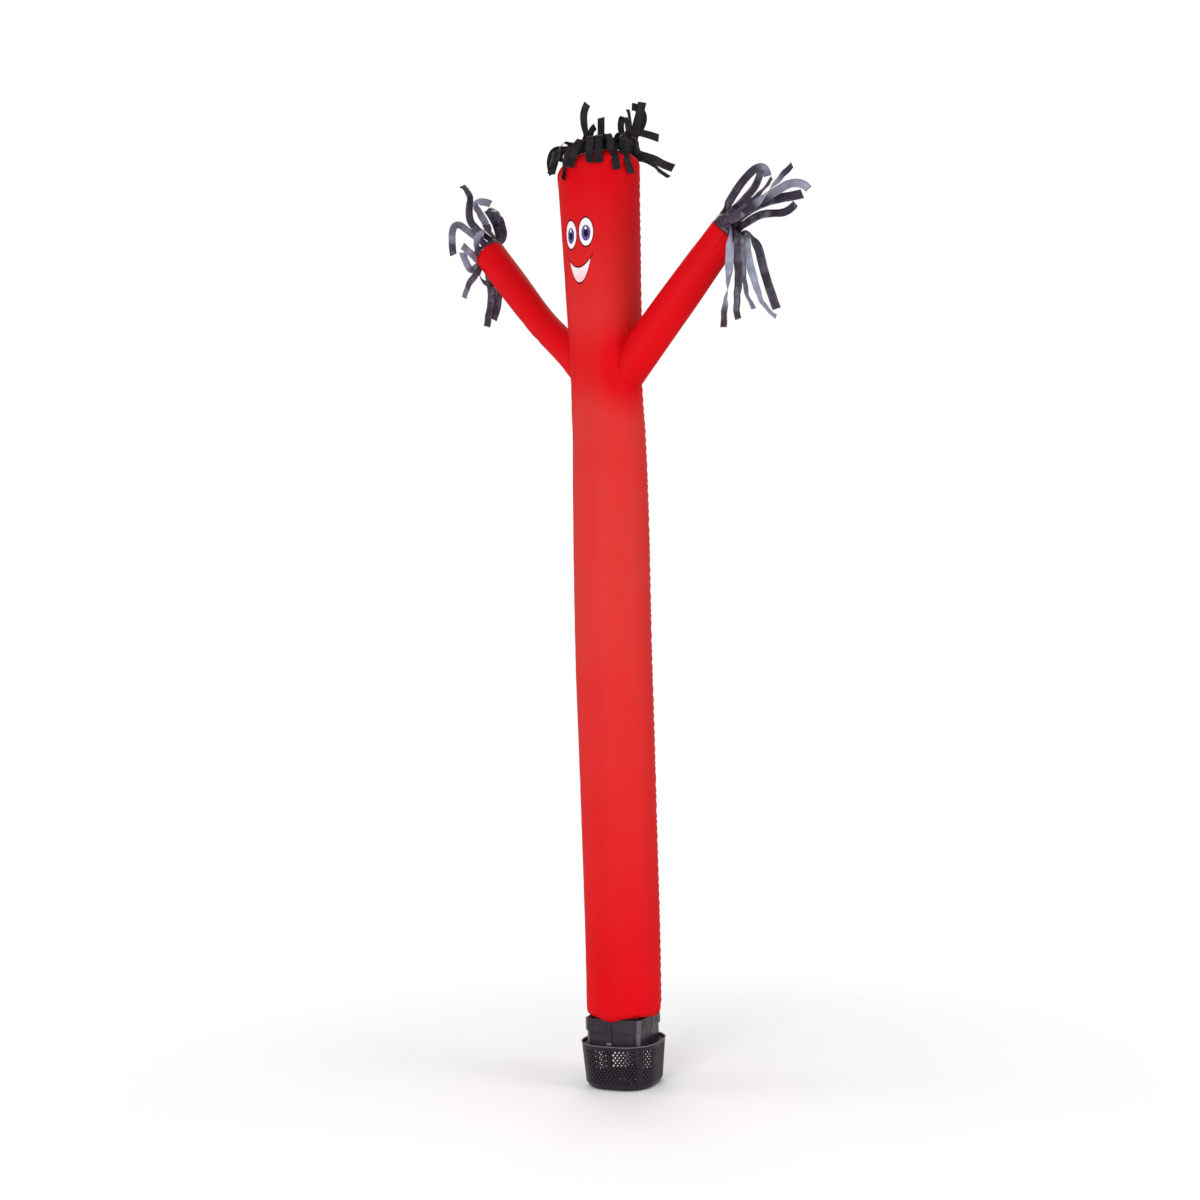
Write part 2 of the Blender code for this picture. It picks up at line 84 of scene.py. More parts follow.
class Finish:
    # a material with its shader's fixed values set, ready for fields
    def __init__(self, name, colour, roughness, **fixed):
        self.material = bpy.data.materials.new(name)
        self.material.use_nodes = True
        self.tree = self.material.node_tree
        self.shader = self.tree.nodes["Principled BSDF"]
        self.shader.inputs["Base Color"].default_value = (*colour, 1.0)
        self.shader.inputs["Roughness"].default_value = roughness
        for key, value in fixed.items():
            self.shader.inputs[key.replace("_", " ")].default_value = value

    def node(self, kind, settings, values, output=0):
        made = self.tree.nodes.new(kind)
        for key, value in settings.items():
            if key == "stops":
                ramp = made.color_ramp
                while len(ramp.elements) < len(value):
                    ramp.elements.new(0.5)
                for element, (place, colour) in zip(ramp.elements, value):
                    element.position, element.color = place, (*colour, 1.0)
            else:
                setattr(made, key, value)
        pairs = values.items() if isinstance(values, dict) else enumerate(values)
        for key, value in pairs:
            if isinstance(value, Field):
                self.tree.links.new(value.socket, made.inputs[key])
            elif value is not None:
                made.inputs[key].default_value = value
        return Field(self, made.outputs[output])

    def place(self, name="Object"):
        return self.node("ShaderNodeTexCoord", {}, [], name)

    def uv(self, name):
        return self.node("ShaderNodeUVMap", {"uv_map": name}, [])

    def parts(self, vector):
        split = self.node("ShaderNodeSeparateXYZ", {}, [vector])
        outputs = split.socket.node.outputs
        return [Field(self, outputs[k]) for k in range(3)]

    def scaled(self, vector, by):
        return self.node("ShaderNodeVectorMath", {"operation": "MULTIPLY"}, [vector, by])

    def noise(self, vector, scale, detail=2.0, rough=0.5):
        return self.node("ShaderNodeTexNoise", {}, {"Vector": vector, "Scale": scale,
                                                    "Detail": detail, "Roughness": rough})

    def blend(self, share, low, high):
        low = low if isinstance(low, Field) else (*low, 1.0)
        high = high if isinstance(high, Field) else (*high, 1.0)
        return self.node("ShaderNodeMix", {"data_type": "RGBA"}, {0: share, 6: low, 7: high}, 2)

    def feed(self, name, field):
        self.tree.links.new(field.socket, self.shader.inputs[name])

    def relief(self, *layers):
        # bumps laid over one another, each a height field, its depth in metres and its strength
        normal = None
        for height, depth, strength in layers:
            values = {"Height": height, "Distance": depth, "Strength": strength}
            if normal:
                values["Normal"] = normal
            normal = self.node("ShaderNodeBump", {}, values)
        self.feed("Normal", normal)


def wear(piece, finish):
    piece.data.materials.clear()
    piece.data.materials.append(finish.material)


def toObject(name, mesh, finish, smooth=True, sharp=None):
    data = bpy.data.meshes.new(name)
    mesh.to_mesh(data)
    mesh.free()
    made = bpy.data.objects.new(name, data)
    bpy.context.scene.collection.objects.link(made)
    if smooth:
        data.shade_smooth()
    if sharp:
        data.set_sharp_from_angle(angle=math.radians(sharp))
    wear(made, finish)
    return made


def mount(piece, slot, *nodes):
    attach(piece, "root")
    if nodes:
        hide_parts(*nodes)


def clothGrid(mesh, across, along, spot, cloth, tone=None, closed=False):
    # a grid laid out by spot(u, v), with its cloth's own measure kept in a UV map
    before = set(mesh.verts)
    layer = mesh.loops.layers.uv.get("cloth") or mesh.loops.layers.uv.new("cloth")
    shade = mesh.loops.layers.uv.get("tone")
    bmesh.ops.create_grid(mesh, x_segments=across, y_segments=along, size=0.5)
    new = [vert for vert in mesh.verts if vert not in before]
    faces = list(dict.fromkeys(face for vert in new for face in vert.link_faces))
    for face in faces:
        for loop in face.loops:
            u, v = loop.vert.co.x + 0.5, loop.vert.co.y + 0.5
            loop[layer].uv = cloth(u, v)
            # the painted light's share, where the grid has one, in a second UV map
            if tone:
                loop[shade].uv = (tone(v), 0.0)
    for vert in new:
        vert.co = spot(vert.co.x + 0.5, vert.co.y + 0.5)
    if closed:
        bmesh.ops.remove_doubles(mesh, verts=new, dist=1e-6)
    return [face for face in faces if face.is_valid]


def growRow(mesh, edges):
    # one more row of faces on a row of edges: the row's new edges, corners and faces
    grown = bmesh.ops.extrude_edge_only(mesh, edges=edges)["geom"]
    return [[part for part in grown if isinstance(part, kind)]
            for kind in (bmesh.types.BMEdge, bmesh.types.BMVert, bmesh.types.BMFace)]


def putInOrder(mesh):
    # by place, because an extrusion makes its parts in an order that differs from run to run
    places = {vert: tuple(round(value, 6) for value in vert.co) for vert in mesh.verts}
    sequences = (mesh.verts, mesh.edges, mesh.faces)
    ranks = []
    for parts in sequences:
        ordered = sorted(parts, key=lambda part: sorted(
            places[vert] for vert in getattr(part, "verts", [part])))
        ranks.append({part: number for number, part in enumerate(ordered)})
    for parts, rank in zip(sequences, ranks):
        parts.sort(key=rank.get)


def faceOutward(mesh):
    bmesh.ops.recalc_face_normals(mesh, faces=mesh.faces)
    outward = sum(face.normal.dot(Vector((*face.calc_center_median().xy, 0.0)))
                  for face in mesh.faces)
    if outward < 0:
        bmesh.ops.reverse_faces(mesh, faces=mesh.faces)


def thicken(piece, thickness, offset=-1.0):
    step = piece.modifiers.new("thickness", "SOLIDIFY")
    step.thickness, step.offset = thickness, offset
    step.use_even_offset = False


def curveThrough(table, key, column):
    # a smooth curve through a column of a table
    last = len(table) - 1
    k = 0
    while k < last - 1 and key > table[k + 1][0]:
        k += 1
    x0, x1 = table[k][0], table[k + 1][0]
    y0, y1 = table[k][column], table[k + 1][column]
    span = x1 - x0
    share = min(1.0, max(0.0, (key - x0) / span))
    slopes = []
    for i in (k, k + 1):
        if 0 < i < last:
            before, here, after = table[i - 1], table[i], table[i + 1]
            low = (here[column] - before[column]) / (here[0] - before[0])
            high = (after[column] - here[column]) / (after[0] - here[0])
            slopes.append(0.0 if low * high <= 0 else 2 * low * high / (low + high))
        else:
            slopes.append((y1 - y0) / span)
    a, b = slopes[0] * span, slopes[1] * span
    s2, s3 = share * share, share**3
    return (y0 * (2 * s3 - 3 * s2 + 1) + a * (s3 - 2 * s2 + share)
            + y1 * (3 * s2 - 2 * s3) + b * (s3 - s2))


def turnPast(turn, mark):
    # degrees from the mark to the turn, from -180 to 180
    return (turn - mark + 180) % 360 - 180


def ripple(x, y, z, seed=0.0):
    return noise.noise(Vector((x + seed, y - 2 * seed, z + 0.5 * seed)))


def eased(value):
    value = max(0.0, min(1.0, value))
    return value * value * (3 - 2 * value)


def fade(distance, reach):
    return math.exp(-((distance / reach) ** 2))


cameraSet = {
    "distance": 5.40, "eyeHeight": 1.40, "azimuth": 35.0, "roll": 1.66,
    "lens": 48.6, "shift": (-0.010667, 0.05233),
}


def makeCamera(sizes):
    turn, roll = math.radians(sizes["azimuth"]), math.radians(sizes["roll"])
    back = Vector((math.sin(turn), -math.cos(turn), 0.0))
    right = Vector((math.cos(turn), math.sin(turn), 0.0))
    up = Vector((0.0, 0.0, 1.0))
    x = right * math.cos(roll) - up * math.sin(roll)
    y = right * math.sin(roll) + up * math.cos(roll)
    data = bpy.data.cameras.new("camera")
    data.lens, data.sensor_width = sizes["lens"], 36.0
    data.shift_x, data.shift_y = sizes["shift"]
    made = bpy.data.objects.new("camera", data)
    bpy.context.scene.collection.objects.link(made)
    place = back * sizes["distance"] + up * sizes["eyeHeight"]
    made.matrix_world = Matrix((
        (x.x, y.x, back.x, place.x), (x.y, y.y, back.y, place.y),
        (x.z, y.z, back.z, place.z), (0, 0, 0, 1)))
    bpy.context.scene.camera = made


makeCamera(cameraSet)
print("camera made")


faceSet = {
    "radius": 0.131,
    "eyeHeight": 2.807, "eyeTurn": 13.5, "eyeHalf": (0.0265, 0.0475),
    "irisHalf": (0.0165, 0.0255), "irisDrop": 0.0035, "pupilHalf": (0.0085, 0.0140),
    "glintHalf": (0.0034, 0.0052), "glintUp": 0.0160,
    "mouthCorner": 2.737, "mouthHalf": 0.055, "mouthSag": 0.040,
    "lobeHalf": 0.047, "lobeTop": 2.729, "lobeSag": 0.084,
    "line": 0.0018,
    "white": (0.86, 0.80, 0.84), "iris": (0.115, 0.085, 0.32), "ring": (0.035, 0.022, 0.12),
    "pupil": (0.012, 0.006, 0.015), "outline": (0.055, 0.004, 0.008),
    "lobe": (0.86, 0.50, 0.54), "lobePale": (0.90, 0.74, 0.76),
}


def printFace(finish, colour, sizes):
    # a plain cartoon smile: two oval eyes and a curved mouth, printed round the front
    x, y, z = finish.parts(finish.place())
    arc = finish.node("ShaderNodeMath", {"operation": "ARCTAN2"}, [x, y * -1.0]) * sizes["radius"]
    front = (y * -400.0).clamped()
    line = sizes["line"]

    def inside(distance, soft=0.0005):
        # from a signed distance, positive outside, to a soft-edged mask
        return (0.5 - distance / (2 * soft)).clamped()

    def oval(a, b, half):
        d = ((a / half[0]) ** 2.0 + (b / half[1]) ** 2.0) ** 0.5
        return (d - 1.0) * min(half) * 1.15

    def lay(under, mask, over):
        return finish.blend(mask * front, under, over)

    for side in (-1, 1):
        a = arc - side * math.radians(sizes["eyeTurn"]) * sizes["radius"]
        b = z - sizes["eyeHeight"]
        rim = oval(a, b, sizes["eyeHalf"])
        colour = lay(colour, inside(rim - line), sizes["outline"])
        tint = finish.blend((b * 14.0 + 0.35).clamped(), sizes["white"], sizes["lobePale"])
        colour = lay(colour, inside(rim + line), tint)
        c = b + sizes["irisDrop"]
        iris = oval(a, c, sizes["irisHalf"])
        colour = lay(colour, inside(iris), sizes["ring"])
        colour = lay(colour, inside(iris + 0.0022, 0.0012), sizes["iris"])
        colour = lay(colour, inside(oval(a, c, sizes["pupilHalf"]), 0.0012), sizes["pupil"])
        shine = oval(a, c - sizes["glintUp"], sizes["glintHalf"])
        colour = lay(colour, inside(shine), sizes["white"])

    top = sizes["mouthCorner"] - sizes["mouthSag"] * (1.0 - (arc / sizes["mouthHalf"]) ** 2.0)
    low = sizes["lobeTop"] - sizes["lobeSag"] * (
        1.0 - ((arc / sizes["lobeHalf"]) ** 2.0) ** 1.15)
    slope = 0.62  # makes the lines' width even on their steep parts
    above = (z - top) * slope
    below = (low - z) * 0.5
    lobe = above.most(below)
    colour = lay(colour, inside(lobe - line * 0.8), sizes["outline"])
    fill = finish.blend(((z - sizes["lobeTop"]) * -20.0 - 0.45).clamped(),
                        sizes["lobePale"], sizes["lobe"])
    colour = lay(colour, inside(lobe + line * 0.8), fill)
    ends = ((arc / sizes["mouthHalf"]).maths("ABSOLUTE") - 1.0) * sizes["mouthHalf"]
    smile = above.maths("ABSOLUTE") - line * 0.8
    colour = lay(colour, inside(smile.most(ends)), sizes["outline"])
    return colour


def nylonFinish(name, sizes, printed=False):
    made = Finish(name, sizes["colour"], sizes["roughness"], Specular_IOR_Level=sizes["gloss"])
    cloth = made.uv("cloth")
    cloud = made.noise(made.place(), 3.2, 3.0)
    threads = made.noise(made.scaled(cloth, (9.0, 330.0, 1.0)), 1.0, 2.0, 0.6)
    weave = made.noise(made.scaled(cloth, (900.0, 1400.0, 1.0)), 1.0, 1.0)
    ribs = made.noise(made.scaled(cloth, (5.0, 74.0, 1.0)), 1.0, 2.0, 0.55)
    shade = (cloud * 0.5 + threads * 0.35 + weave * 0.15 - 0.28) * 2.2
    colour = made.blend(shade.clamped(), sizes["deep"], sizes["colour"])
    if printed:
        # painted highlight: the middle of the body is painted paler, as if lit, fading out towards the
        # head and towards the hem
        level = made.parts(made.place())[2]
        paintedLitShare = ((2.97 - level) * 1.6).least((level - 0.30) * 0.75).clamped()
        # painted shade: beside each sleeve's root the painted highlight fades out to the deeper red
        for root in sizes["roots"]:
            gap = made.node("ShaderNodeVectorMath", {"operation": "DISTANCE"},
                            [made.place(), root], 1)
            paintedLitShare = paintedLitShare * ((gap - 0.085) / 0.10).clamped()
        colour = made.blend(paintedLitShare * (0.55 + cloud * 0.9), colour, sizes["lit"])
        colour = printFace(made, colour, faceSet)
    made.feed("Base Color", colour)
    made.feed("Roughness", (sizes["roughness"] - 0.06 + threads * 0.12).clamped())
    layers = [(ribs, 0.0011, sizes["ribs"]), (threads, 0.0004, sizes["threads"]),
              (weave, 0.00012, 0.5)]
    if printed:
        # the gathered hem is crushed into small facets
        crush = made.node("ShaderNodeTexVoronoi", {"feature": "F1"},
                          {"Vector": made.scaled(made.place(), (1.0, 1.0, 1.9)), "Scale": 105.0})
        near = ((0.262 - level) * 34.0).clamped()
        layers.append((crush * near, 0.0042, 0.85))
    made.relief(*layers)
    return made


nylonSet = {
    "colour": (0.64, 0.0020, 0.0065), "deep": (0.56, 0.0015, 0.0045),
    # the colour of the painted highlight on the body's middle, and the sleeve roots where it fades out
    "lit": (0.57, 0.030, 0.026), "roughness": 0.56, "gloss": 0.055,
    "roots": ((0.11, -0.03, 2.37), (-0.10, -0.03, 2.40)),
    "ribs": 0.30, "threads": 0.45,
}
redNylon = nylonFinish("redNylon", {**nylonSet, "gloss": 0.06, "roughness": 0.58})
printedNylon = nylonFinish("printedNylon", nylonSet, printed=True)


def ribbonFinish(name, sizes):
    made = Finish(name, sizes["colour"], sizes["roughness"], Specular_IOR_Level=sizes["gloss"],
                  Sheen_Weight=sizes["sheen"], Sheen_Roughness=0.3,
                  Sheen_Tint=(*sizes["sheenTint"], 1.0))
    cloth = made.uv("cloth")
    cloud = made.noise(made.place(), 22.0, 2.0)
    threads = made.noise(made.scaled(cloth, (1500.0, 60.0, 1.0)), 1.0, 2.0)
    cross = made.noise(made.scaled(cloth, (40.0, 900.0, 1.0)), 1.0, 1.0)
    shade = (cloud * 0.7 + threads * 0.3 - 0.3) * 2.4
    colour = made.blend(shade.clamped(), sizes["deep"], sizes["colour"])
    # painted sheen: a few strips, and some folds along them, are painted paler, as if they catch the
    # light
    tone = made.parts(made.uv("tone"))[0]
    drift = (cloud * 3.0 - 1.0).clamped()
    made.feed("Base Color", made.blend((tone * (0.72 + drift * 0.28)).clamped(), colour,
                                       sizes["sheenSide"]))
    made.feed("Roughness", (sizes["roughness"] - 0.08 + cloud * 0.16).clamped())
    made.relief((threads, 0.0002, 0.4), (cross, 0.0002, 0.35))
    return made


hairNylon = ribbonFinish("hairNylon", {
    "colour": (0.0130, 0.0100, 0.0130), "deep": (0.007, 0.0055, 0.007),
    "sheenSide": (0.075, 0.065, 0.080),
    "roughness": 0.52, "gloss": 0.16, "sheen": 0.02, "sheenTint": (0.7, 0.68, 0.75)})
handNylon = ribbonFinish("handNylon", {
    "colour": (0.040, 0.022, 0.046), "deep": (0.014, 0.008, 0.018),
    "sheenSide": (0.30, 0.31, 0.41),
    "roughness": 0.36, "gloss": 0.40, "sheen": 0.05, "sheenTint": (0.75, 0.76, 0.88)})
print("nylon mixed")


bodySet = {
    "sides": 128, "rows": 330, "crownRows": 22, "thickness": 0.0005,
    # height, radius, sway along the lean
    "rings": (
        (0.2410, 0.1165, 0.001), (0.2520, 0.1225, 0.003), (0.2800, 0.1245, 0.005),
        (0.6000, 0.1252, 0.007), (1.0000, 0.1262, 0.006), (1.4000, 0.1280, 0.004),
        (1.7000, 0.1280, 0.006), (1.9800, 0.1255, 0.009), (2.1600, 0.1215, 0.010),
        (2.3000, 0.1185, 0.007), (2.4500, 0.1215, 0.007), (2.6000, 0.1250, 0.005),
        (2.7800, 0.1300, 0.003), (2.9200, 0.1340, 0.001), (3.0350, 0.1380, 0.000),
    ),
    # the hem, from the neck down and under to the cuff: height, radius
    "hem": ((0.2430, 0.0968), (0.2368, 0.0968), (0.2343, 0.0990), (0.2341, 0.1040),
            (0.2345, 0.1085), (0.2368, 0.1132), (0.2410, 0.1165)),
    "crownRadius": 0.138, "crownSeam": 3.035, "crownRise": 0.060, "crownTilt": 0.015,
    "lump": (0.050, 0.012, 0.035),
    "seamTurn": 38.0, "seamPitch": 0.027, "seamDepth": 0.0016,
    "crownFolds": 41, "hemFolds": 37, "hemRows": 12, "hemDepth": 0.0040,
    "foldRadius": 0.125,  # turns a fold's degrees into metres
    "waver": 0.004, "sleeveGathers": 15,
    # where the hem hangs over the middles of the housing's sides: turn from +X, drop, reach
    "hemTips": ((-77.5, 0.0120, 17), (12.5, 0.0080, 20), (102.5, 0.0080, 20), (-167.5, 0.0080, 20)),
    # soft folds: turn from +X in degrees, height, length, slant, depth and width in
    # millimetres; a negative depth is a trough
    "folds": (
        (-22, 2.300, 150, 62, -3.0, 17), (-34, 2.262, 190, 72, 2.2, 20),
        (-12, 2.220, 140, 84, -2.4, 15), (10, 2.215, 150, 96, 1.8, 16),
        (-8, 2.545, 120, 82, -2.0, 15), (12, 2.560, 130, 98, -1.6, 14),
        (-158, 2.330, 130, 112, -2.6, 16), (-150, 2.262, 160, 100, 2.0, 18),
        (-172, 2.235, 150, 94, -2.4, 16), (166, 2.240, 150, 84, 1.8, 16),
        (-172, 2.600, 120, 96, -1.8, 15), (168, 2.590, 120, 84, -1.6, 14),
        (-100, 2.180, 260, 88, -1.4, 26), (-62, 2.130, 300, 92, 1.4, 30),
        (-48, 2.520, 240, 96, 1.6, 26), (-70, 2.940, 150, 84, -1.2, 20),
        (-40, 2.930, 140, 96, 1.2, 18), (-128, 2.950, 130, 92, -1.0, 16),
        (-58, 0.330, 140, 94, 1.4, 16), (-92, 0.320, 120, 88, -1.2, 16),
        (-26, 0.330, 130, 84, -1.3, 15), (-130, 0.330, 120, 92, 1.2, 16),
        (-70, 1.150, 420, 91, 1.0, 30), (-40, 1.600, 500, 89, -1.0, 34),
        (-105, 0.800, 460, 90, -0.9, 32), (100, 1.300, 500, 90, 1.0, 34),
        (140, 2.050, 260, 86, -1.4, 24), (70, 2.420, 240, 96, 1.4, 24),
    ),
}


def crownHeight(x, y):
    along, across = x * lean.x + y * lean.y, x * aside.x + y * aside.y
    share = min(1.0, (x * x + y * y) / bodySet["crownRadius"] ** 2)
    off, lump, spread = bodySet["lump"]
    lift = lump * math.exp(-((along + off) ** 2 + across**2) / (2 * spread**2))
    return (bodySet["crownSeam"] + bodySet["crownTilt"] * along / bodySet["crownRadius"]
            + bodySet["crownRise"] * math.sqrt(1.0 - share) + lift * (1.0 - share))


def foldRise(a, b, length, slant, depth, width, waver=0.0):
    # a fold's rise at a point a and b metres from its middle
    c, s = math.cos(math.radians(slant)), math.sin(math.radians(slant))
    along, across = a * c + b * s, b * c - a * s
    across += waver * math.sin(along * 40)
    return depth / 1000 * fade(along, length / 2000) * fade(across, width / 1000)


def foldLift(turn, height):
    # what the listed folds add to the radius
    total = 0.0
    for at, level, length, slant, depth, width in bodySet["folds"]:
        off = turnPast(turn, at)
        if abs(off) > 60 or abs(height - level) > 0.4:
            continue
        total += foldRise(math.radians(off) * bodySet["foldRadius"], height - level,
                          length, slant, depth, width, bodySet["waver"])
    return total


sleeveSet = {
    "around": 72, "rows": 84, "thickness": 0.0005, "foldRadius": 0.055,
    "rootGathers": 13, "mouthGathers": 17,
    "tuck": 0.0025,  # how far the root is sewn in under the body's surface
    "right": {
        "side": 1, "height": 2.2723, "slope": 44.6, "pucker": 0.0014,
        "rings": ((0.060, 0.0680, 0.000), (0.180, 0.0660, 0.000), (0.400, 0.0620, 0.000),
                  (0.600, 0.0570, 0.000), (0.6863, 0.0530, 0.000)),
        # distance along, turn round from the upper side to the front, length, slant off the
        # sleeve's line, depth and width in millimetres
        "folds": (
            (0.20, 70, 110, 12, -3.2, 13), (0.23, 110, 120, -14, 2.4, 13),
            (0.21, 150, 100, 24, -2.6, 12), (0.19, 20, 90, -20, -2.2, 12),
            (0.30, 90, 220, 4, 1.6, 16), (0.46, 60, 200, -6, -1.5, 15),
            (0.55, 100, 170, 5, 1.6, 12), (0.62, 74, 90, 0, -1.8, 8),
            (0.64, 128, 80, 4, -1.8, 8), (0.63, 30, 80, -4, -1.6, 8),
            (0.60, 250, 110, 3, 1.6, 12), (0.30, 230, 180, -8, -1.8, 15),
        ),
    },
    "left": {
        "side": -1, "height": 2.2980, "slope": 48.9, "pucker": 0.0014,
        "rings": ((0.060, 0.0580, 0.000), (0.200, 0.0530, 0.002), (0.380, 0.0510, 0.013),
                  (0.580, 0.0545, 0.006), (0.7179, 0.0555, 0.000)),
        "folds": (
            (0.20, 60, 110, -14, -2.8, 12), (0.24, 104, 120, 16, 2.2, 12),
            (0.22, 140, 100, -22, -2.4, 12), (0.36, 90, 80, 62, -2.2, 12),
            (0.41, 120, 80, 70, -2.0, 11), (0.33, 150, 70, 60, -1.8, 11),
            (0.50, 70, 190, 4, 1.5, 14), (0.60, 110, 160, -5, -1.5, 12),
            (0.67, 80, 80, 0, -1.6, 8), (0.68, 130, 70, 3, -1.6, 8),
            (0.66, 30, 80, -4, 1.6, 9), (0.55, 240, 150, 4, -1.6, 13),
        ),
    },
}


def sleeveFrame(name):
    # the start on the body's axis, the way along, the way up across it and the way to the front
    sizes = sleeveSet[name]
    tilt = math.radians(sizes["slope"])
    along = Vector((sizes["side"] * math.cos(tilt), 0.0, math.sin(tilt)))
    up = Vector((-sizes["side"] * math.sin(tilt), 0.0, math.cos(tilt)))
    return Vector((0.0, 0.0, sizes["height"])), along, up, Vector((0.0, -1.0, 0.0))


def sleeveShare(name, point):
    # how far a point is from a sleeve's line, as a share of the sleeve's radius at its root
    start, along = sleeveFrame(name)[:2]
    off = point - start
    reach = off.dot(along)
    across = off - along * reach
    return across.length / sleeveSet[name]["rings"][1][1] if reach > 0 else 9.0


def hemDrop(turn):
    return sum(drop * fade(turnPast(turn, at), reach) for at, drop, reach in bodySet["hemTips"])


def crownGather(angle):
    x, y = math.cos(angle), math.sin(angle)
    return math.sin(angle * bodySet["crownFolds"] + 2.2 * ripple(2 * x, 2 * y, 0, 3.0))


def hemUneven(x, y):
    # the gathers are deeper in some places round the hem than in others
    return 0.6 + 0.6 * ripple(3 * x, 3 * y, 0, 9.0)


def hemGather(angle):
    x, y = math.cos(angle), math.sin(angle)
    return (math.sin(angle * bodySet["hemFolds"] + 2.6 * ripple(2 * x, 2 * y, 0, 5.0))
            + 0.55 * math.sin(angle * 67 + 3.0 * ripple(3 * x, 3 * y, 0, 8.0)))


def bodySpot(turn, height, detail=True):
    # a point on the shaft at a turn from +X in degrees
    angle = math.radians(turn)
    radius = curveThrough(bodySet["rings"], height, 1)
    sway = curveThrough(bodySet["rings"], height, 2)
    out = Vector((math.cos(angle), math.sin(angle), 0.0))
    lift = 0.0
    if detail:
        lift += foldLift(turn, height)
        lift += 0.0012 * ripple(3.0 * math.cos(angle), 3.0 * math.sin(angle), height * 2.2)
        lift += 0.0005 * ripple(6.0 * math.cos(angle), 6.0 * math.sin(angle), height * 30, 7.0)
        off = turnPast(turn, bodySet["seamTurn"])
        beat = height / bodySet["seamPitch"] + 0.8 * ripple(0, 0, height * 14)
        lift += bodySet["seamDepth"] * fade(off, 13) * math.sin(2 * math.pi * beat)
        lift -= 0.0016 * fade(off, 3.0)
        high, low = bodySet["crownSeam"] - height, height - 0.241
        if high < 0.09:
            gather = crownGather(angle)
            lift += 0.0013 * fade(high - 0.012, 0.022) * gather * min(1.0, high / 0.012)
            lift -= 0.0012 * fade(high - 0.002, 0.006)
        if low < 0.12:
            size = hemUneven(out.x, out.y)
            lift += bodySet["hemDepth"] * size * math.exp(-low / 0.020) * hemGather(angle)
            lift += 0.0012 * math.exp(-low / 0.05) * ripple(9 * out.x, 9 * out.y, height * 60, 2.0)
            height -= hemDrop(turn) * math.exp(-low / 0.022)
        plain = out * radius + lean * sway + Vector((0, 0, height))
        for name in ("right", "left"):
            share = sleeveShare(name, plain)
            if 0.9 < share < 2.4:
                start, _, up, front = sleeveFrame(name)
                across = plain - start
                bearing = math.atan2(across.dot(front), across.dot(up))
                gather = math.sin(bearing * bodySet["sleeveGathers"] + 1.5 * math.sin(bearing * 4))
                lift += 0.0014 * fade(share - 1.12, 0.30) * gather
                lift -= 0.0016 * fade(share - 1.03, 0.10)
    return out * (radius + lift) + lean * sway + Vector((0.0, 0.0, height))


def makeBody(sizes):
    mesh = bmesh.new()
    hem, rings = sizes["hem"], sizes["rings"]
    low, high = rings[0][0], rings[-1][0]
    hemRows = sizes["hemRows"]
    total = hemRows + sizes["rows"] + sizes["crownRows"]

    def spot(u, v):
        turn = u * 360.0
        angle = math.radians(turn)
        out = Vector((math.cos(angle), math.sin(angle), 0.0))
        row = v * total
        if row < hemRows:
            place = row / hemRows * (len(hem) - 1)
            k = min(int(place), len(hem) - 2)
            share = place - k
            height = hem[k][0] * (1 - share) + hem[k + 1][0] * share
            radius = hem[k][1] * (1 - share) + hem[k + 1][1] * share
            gather = hemGather(angle)
            size = hemUneven(out.x, out.y)
            weight = max(0.0, (row - 4) / (hemRows - 4))
            radius += (sizes["hemDepth"] * size * gather + 0.0012 * ripple(
                9 * out.x, 9 * out.y, low * 60, 2.0)) * weight
            height -= hemDrop(turn) * eased((radius - 0.1050) / 0.0055)
            height += 0.0022 * (1 + gather) * 0.5 * weight * (1 - weight) * 4
            return out * radius + lean * 0.001 * weight + Vector((0, 0, height))
        row -= hemRows
        if row <= sizes["rows"]:
            return bodySpot(turn, low + (high - low) * row / sizes["rows"])
        share = 1.0 - (row - sizes["rows"]) / sizes["crownRows"]
        share = math.sin(share * math.pi / 2) if share < 1 else 1.0
        radius = sizes["crownRadius"] * share
        gather = crownGather(angle)
        puff = 0.0009 * fade(1 - share - 0.05, 0.06) * gather
        puff += 0.0010 * ripple(out.x * share * 3, out.y * share * 3, 0, 4.0) * (1 - share**4)
        point = out * radius
        return Vector((point.x, point.y, crownHeight(point.x, point.y) + puff))

    def cloth(u, v):
        return u * 0.80, 0.2 + v * total / sizes["rows"] * (high - low)

    clothGrid(mesh, sizes["sides"], total, spot, cloth)
    bmesh.ops.remove_doubles(mesh, verts=mesh.verts, dist=1e-5)
    inside = [face for face in mesh.faces
              if any(sleeveShare(name, face.calc_center_median()) < 0.86
                     for name in ("right", "left"))]
    bmesh.ops.delete(mesh, geom=inside, context="FACES")
    bmesh.ops.recalc_face_normals(mesh, faces=mesh.faces)
    made = toObject("nylonBody", mesh, printedNylon)
    thicken(made, sizes["thickness"])
    mount(made, "red_nylon", "tube_body")
    return made


nylonBody = makeBody(bodySet)
print("body sewn")


def bodyReach(point):
    # how far a point stands outside the body's own surface
    sway = curveThrough(bodySet["rings"], point.z, 2)
    off = Vector((point.x, point.y, 0.0)) - lean * sway
    turn = math.degrees(math.atan2(off.y, off.x))
    surface = bodySpot(turn, point.z) - lean * sway
    return off.length - Vector((surface.x, surface.y, 0.0)).length


def sleeveRoot(name, turn):
    low, high = 0.03, 0.30
    for _ in range(18):
        middle = (low + high) / 2
        if bodyReach(sleeveSpot(name, middle, turn, 0.0)) > 0:
            high = middle
        else:
            low = middle
    return low


def sleeveSpot(name, distance, turn, lift):
    start, along, up, front = sleeveFrame(name)
    rings = sleeveSet[name]["rings"]
    radius = curveThrough(rings, distance, 1) + lift
    arm = up * math.cos(turn) + front * math.sin(turn)
    return start + along * distance - up * curveThrough(rings, distance, 2) + arm * radius


